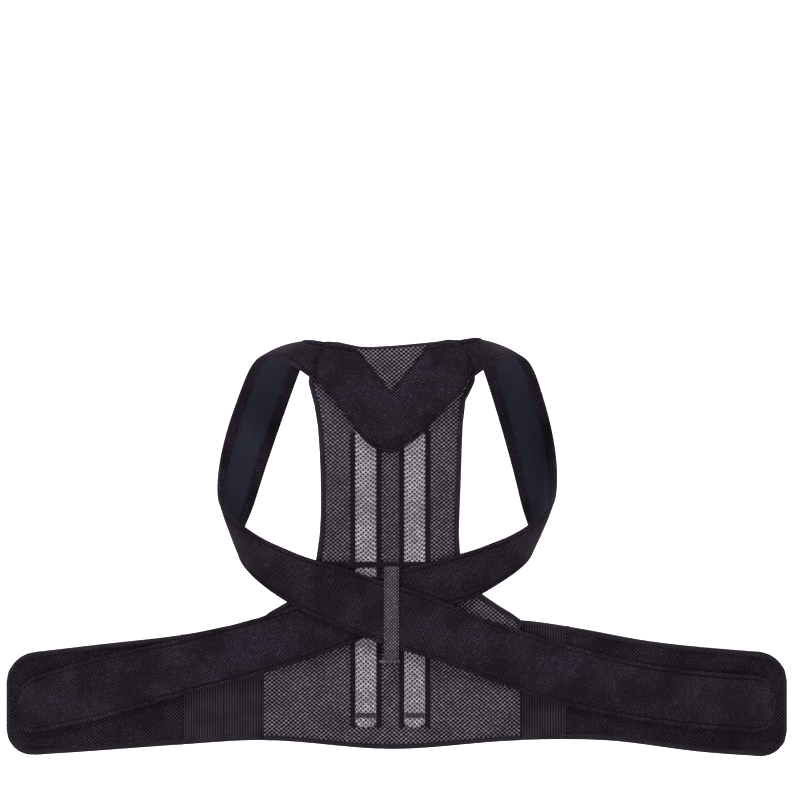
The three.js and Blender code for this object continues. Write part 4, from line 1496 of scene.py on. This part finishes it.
@dataclass
class BeltSide:
    """One side of the belt: ribbed elastic, a bound wing, and the hook tape of its strap's tail."""

    side: Side
    finishes: Finishes
    seam_x: float
    wing_x: float
    bend: float = 12.0
    tuck: float = 4.0
    rib: float = 0.35
    roll_over: float = 1.7

    def build(self) -> None:
        """Makes every piece of this side."""
        sign, word = self.side.value, self.side.word
        middle = (self.seam_x + self.wing_x) / 2
        near = Bend.over("back", f"{word}_side", sign * self.seam_x, self.bend)
        far = Bend.over(f"{word}_side", f"{word}_wing", sign * self.wing_x, self.bend)
        self._elastic(f"{word}_elastic_inner", (self.seam_x - self.tuck, middle), near)
        self._elastic(f"{word}_elastic_outer", (middle, self.wing_x + self.tuck), far)
        self._wing()
        self._hook(f"{self.side.other.word}_tail_hook", f"{self.side.other.word}_tail",
                   LAYERS.tail - LAYERS.gap - 1.6)
        if self.side is Side.LEFT:
            self._hook("belt_hook_patch", "left_wing", -LAYERS.gap - 1.6)

    def _elastic(self, name: str, ends: tuple[float, float], bend: Bend) -> None:
        """A length of ribbed elastic, with a sewn roll along its upper and lower edge."""
        edges = Outline.cut([f"{self.side.word}_elastic_panel"], 0, 2)
        first, last = sorted(self.side.value * end for end in ends)
        x = np.linspace(first, last, 60)
        z = spread(edges.low(x), edges.high(x), crowded(60, 0.5)).T
        x = np.broadcast_to(x, z.shape)
        y = -(POSTURE.face(x, z) + LAYERS.elastic / 2)
        cloth = Cloth.over(np.stack([x, y, z], axis=2), np.array([0.0, -1.0, 0.0]))
        rib = self.rib * np.sin(2 * math.pi * x / RIB_PITCH)
        half = np.full(z.shape, LAYERS.elastic / 2)
        shape = Shape()
        cloth.thicken(shape, half + rib, half)
        for row in (0, -1):
            path, outward = evened(cloth.middle[row], cloth.outward[row])
            Roll().lay(shape, path, outward, LAYERS.elastic + 2.4, 1)
        piece = shape.build(name, [self.finishes.elastic, self.finishes.binding])
        hand_over(piece, bend, [f"{self.side.word}_elastic_panel"])

    def _wing(self) -> None:
        """The neoprene wing and the roll round its edge."""
        word = self.side.word
        outline = Outline.cut([f"{word}_wing"], 0, 2)
        cloth = flat_cloth(outline, 80, 150, 0.0, LAYERS.neoprene)
        x, z = cloth.middle[..., 0], cloth.middle[..., 2]
        edge = cloth.edge_distance()
        half = LAYERS.neoprene / 2
        hem = 0.5 * np.exp(-(((edge - 5.0) / 1.2) ** 2))
        outer = half + 0.12 * ripple(x, z, 41, 70) - hem
        shape = Shape()
        cloth.thicken(shape, outer, np.full(edge.shape, half))
        piece = shape.build(f"{word}_wing_cloth", [self.finishes.wing])
        hand_over(piece, f"{word}_wing", [f"{word}_wing"])
        left = self.side is Side.LEFT
        end, order = (0, slice(None, None, -1)) if left else (-1, slice(None))
        path, outward = (np.concatenate([grid[-1, order], grid[-2:0:-1, end], grid[0, order][::-1]])
                         for grid in (cloth.middle, cloth.outward))
        centre = np.array([float(x.mean()), 0.0, float(z.mean())])
        piece = bound_edge(f"{word}_wing_edge", path, outward, LAYERS.neoprene + self.roll_over, centre,
                           (1.6, half + 0.7), self.finishes)
        hand_over(piece, f"{word}_wing", [f"{word}_wing_binding"])

    def _hook(self, node: str, body: str, stand: float) -> None:
        """A patch of hook tape."""
        cloth = flat_cloth(Outline.cut([node], 0, 2), 24, 30, stand, 1.6)
        soft = 0.8 * rounded(cloth.edge_distance() + 0.2, 0.8)
        shape = Shape()
        cloth.thicken(shape, soft, soft)
        piece = shape.build(f"{node}_tape", [self.finishes.hook])
        hand_over(piece, body, [node])


# ---------------------------------------------------------------- the studio


@dataclass
class Studio:
    """A pale curved backdrop, soft lights and the camera."""

    camera_at: tuple[float, float, float] = (0.0092, -3.9, 0.322)
    focal: float = 152.6
    floor_z: float = -0.25
    wall_y: float = 5.0
    reach: float = 9.0
    cove: float = 0.6
    glow: tuple[float, float] = (0.2, 0.8)
    sky: float = 0.28
    aim_z: float = 0.15

    def build(self) -> None:
        """Sets everything up."""
        self._backdrop()
        self._lights()
        camera = bpy.data.objects.new("camera", bpy.data.cameras.new("camera"))
        camera.data.lens = self.focal
        camera.data.sensor_width = 36.0
        camera.location = self.camera_at
        camera.rotation_euler = (math.pi / 2, 0.0, 0.0)
        bpy.context.scene.collection.objects.link(camera)
        bpy.context.scene.camera = camera
        bpy.context.scene.view_settings.view_transform = "Standard"

    def _backdrop(self) -> None:
        """A floor that turns up into a wall along a quarter circle, and glows less under the brace."""
        angle = np.linspace(0, math.pi / 2, 24)
        curve = np.stack([self.wall_y + self.cove * np.sin(angle),
                          self.floor_z + self.cove * (1 - np.cos(angle))], axis=1)
        top = [self.wall_y + self.cove, self.reach]
        profile = np.concatenate([[[-self.reach, self.floor_z]], curve, [top]])
        points = [(side * self.reach, y, z) for side in (-1, 1) for y, z in profile]
        count = len(profile)
        faces = [(k, k + 1, count + k + 1, count + k) for k in range(count - 1)]
        mesh = bpy.data.meshes.new("backdrop")
        mesh.from_pydata(points, [], faces)
        mesh.polygons.foreach_set("use_smooth", [True] * len(mesh.polygons))
        wires = Wiring("backdrop")
        far = wires.vector("LENGTH", wires.vector("MULTIPLY", wires.place(), (1.0, 1.0, 0.0)))
        wires.put(wires.shader.inputs["Emission Color"], (1.0, 1.0, 1.0, 1.0))
        wires.put(wires.shader.inputs["Emission Strength"], wires.remap(far, 0.3, 1.2, *self.glow))
        mesh.materials.append(wires.finish((0.9, 0.9, 0.9, 1.0), 1.0, None, gloss=0.0))
        backdrop = bpy.data.objects.new("backdrop", mesh)
        bpy.context.scene.collection.objects.link(backdrop)

    def _lights(self) -> None:
        """A large key from above on the left, softer lights from the right and behind, and a pale sky."""
        for name, place, size, power in (
            ("key", (-0.8, -1.0, 2.7), 0.7, 130.0),
            ("right", (2.2, -1.0, 1.6), 0.9, 24.0),
            ("top", (0.3, 0.7, 2.4), 0.9, 50.0),
        ):
            light = bpy.data.lights.new(name, "AREA")
            light.size = size
            light.energy = power
            lamp = bpy.data.objects.new(name, light)
            lamp.location = place
            aim = np.array([0.0, 0.0, self.aim_z]) - np.array(place)
            lamp.rotation_euler = (math.atan2(math.hypot(aim[0], aim[1]), -aim[2]), 0.0,
                                   math.atan2(aim[1], aim[0]) - math.pi / 2)
            bpy.context.scene.collection.objects.link(lamp)
        world = bpy.data.worlds.new("sky")
        world.use_nodes = True
        background = world.node_tree.nodes["Background"]
        background.inputs["Color"].default_value = (1.0, 1.0, 1.0, 1.0)
        background.inputs["Strength"].default_value = self.sky
        bpy.context.scene.world = world


def main() -> None:
    """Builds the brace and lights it."""
    logging.basicConfig(level=logging.INFO, format="%(name)s: %(message)s")
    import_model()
    finishes = Finishes()
    Back(finishes).build()
    Yoke(finishes).build()
    wing_x = {Side.LEFT: 239.0, Side.RIGHT: 200.0}
    straps = ((Side.LEFT, LAYERS.left_strap, 446.0), (Side.RIGHT, LAYERS.right_strap, 438.0))
    for side, stand, end_x in straps:
        Strap(side, finishes, stand, (POSTURE.seam_x, wing_x[side.other]), end_x).build()
    for side in Side:
        BeltSide(side, finishes, POSTURE.seam_x, wing_x[side]).build()
    Studio().build()


if __name__ == "__main__":
    main()
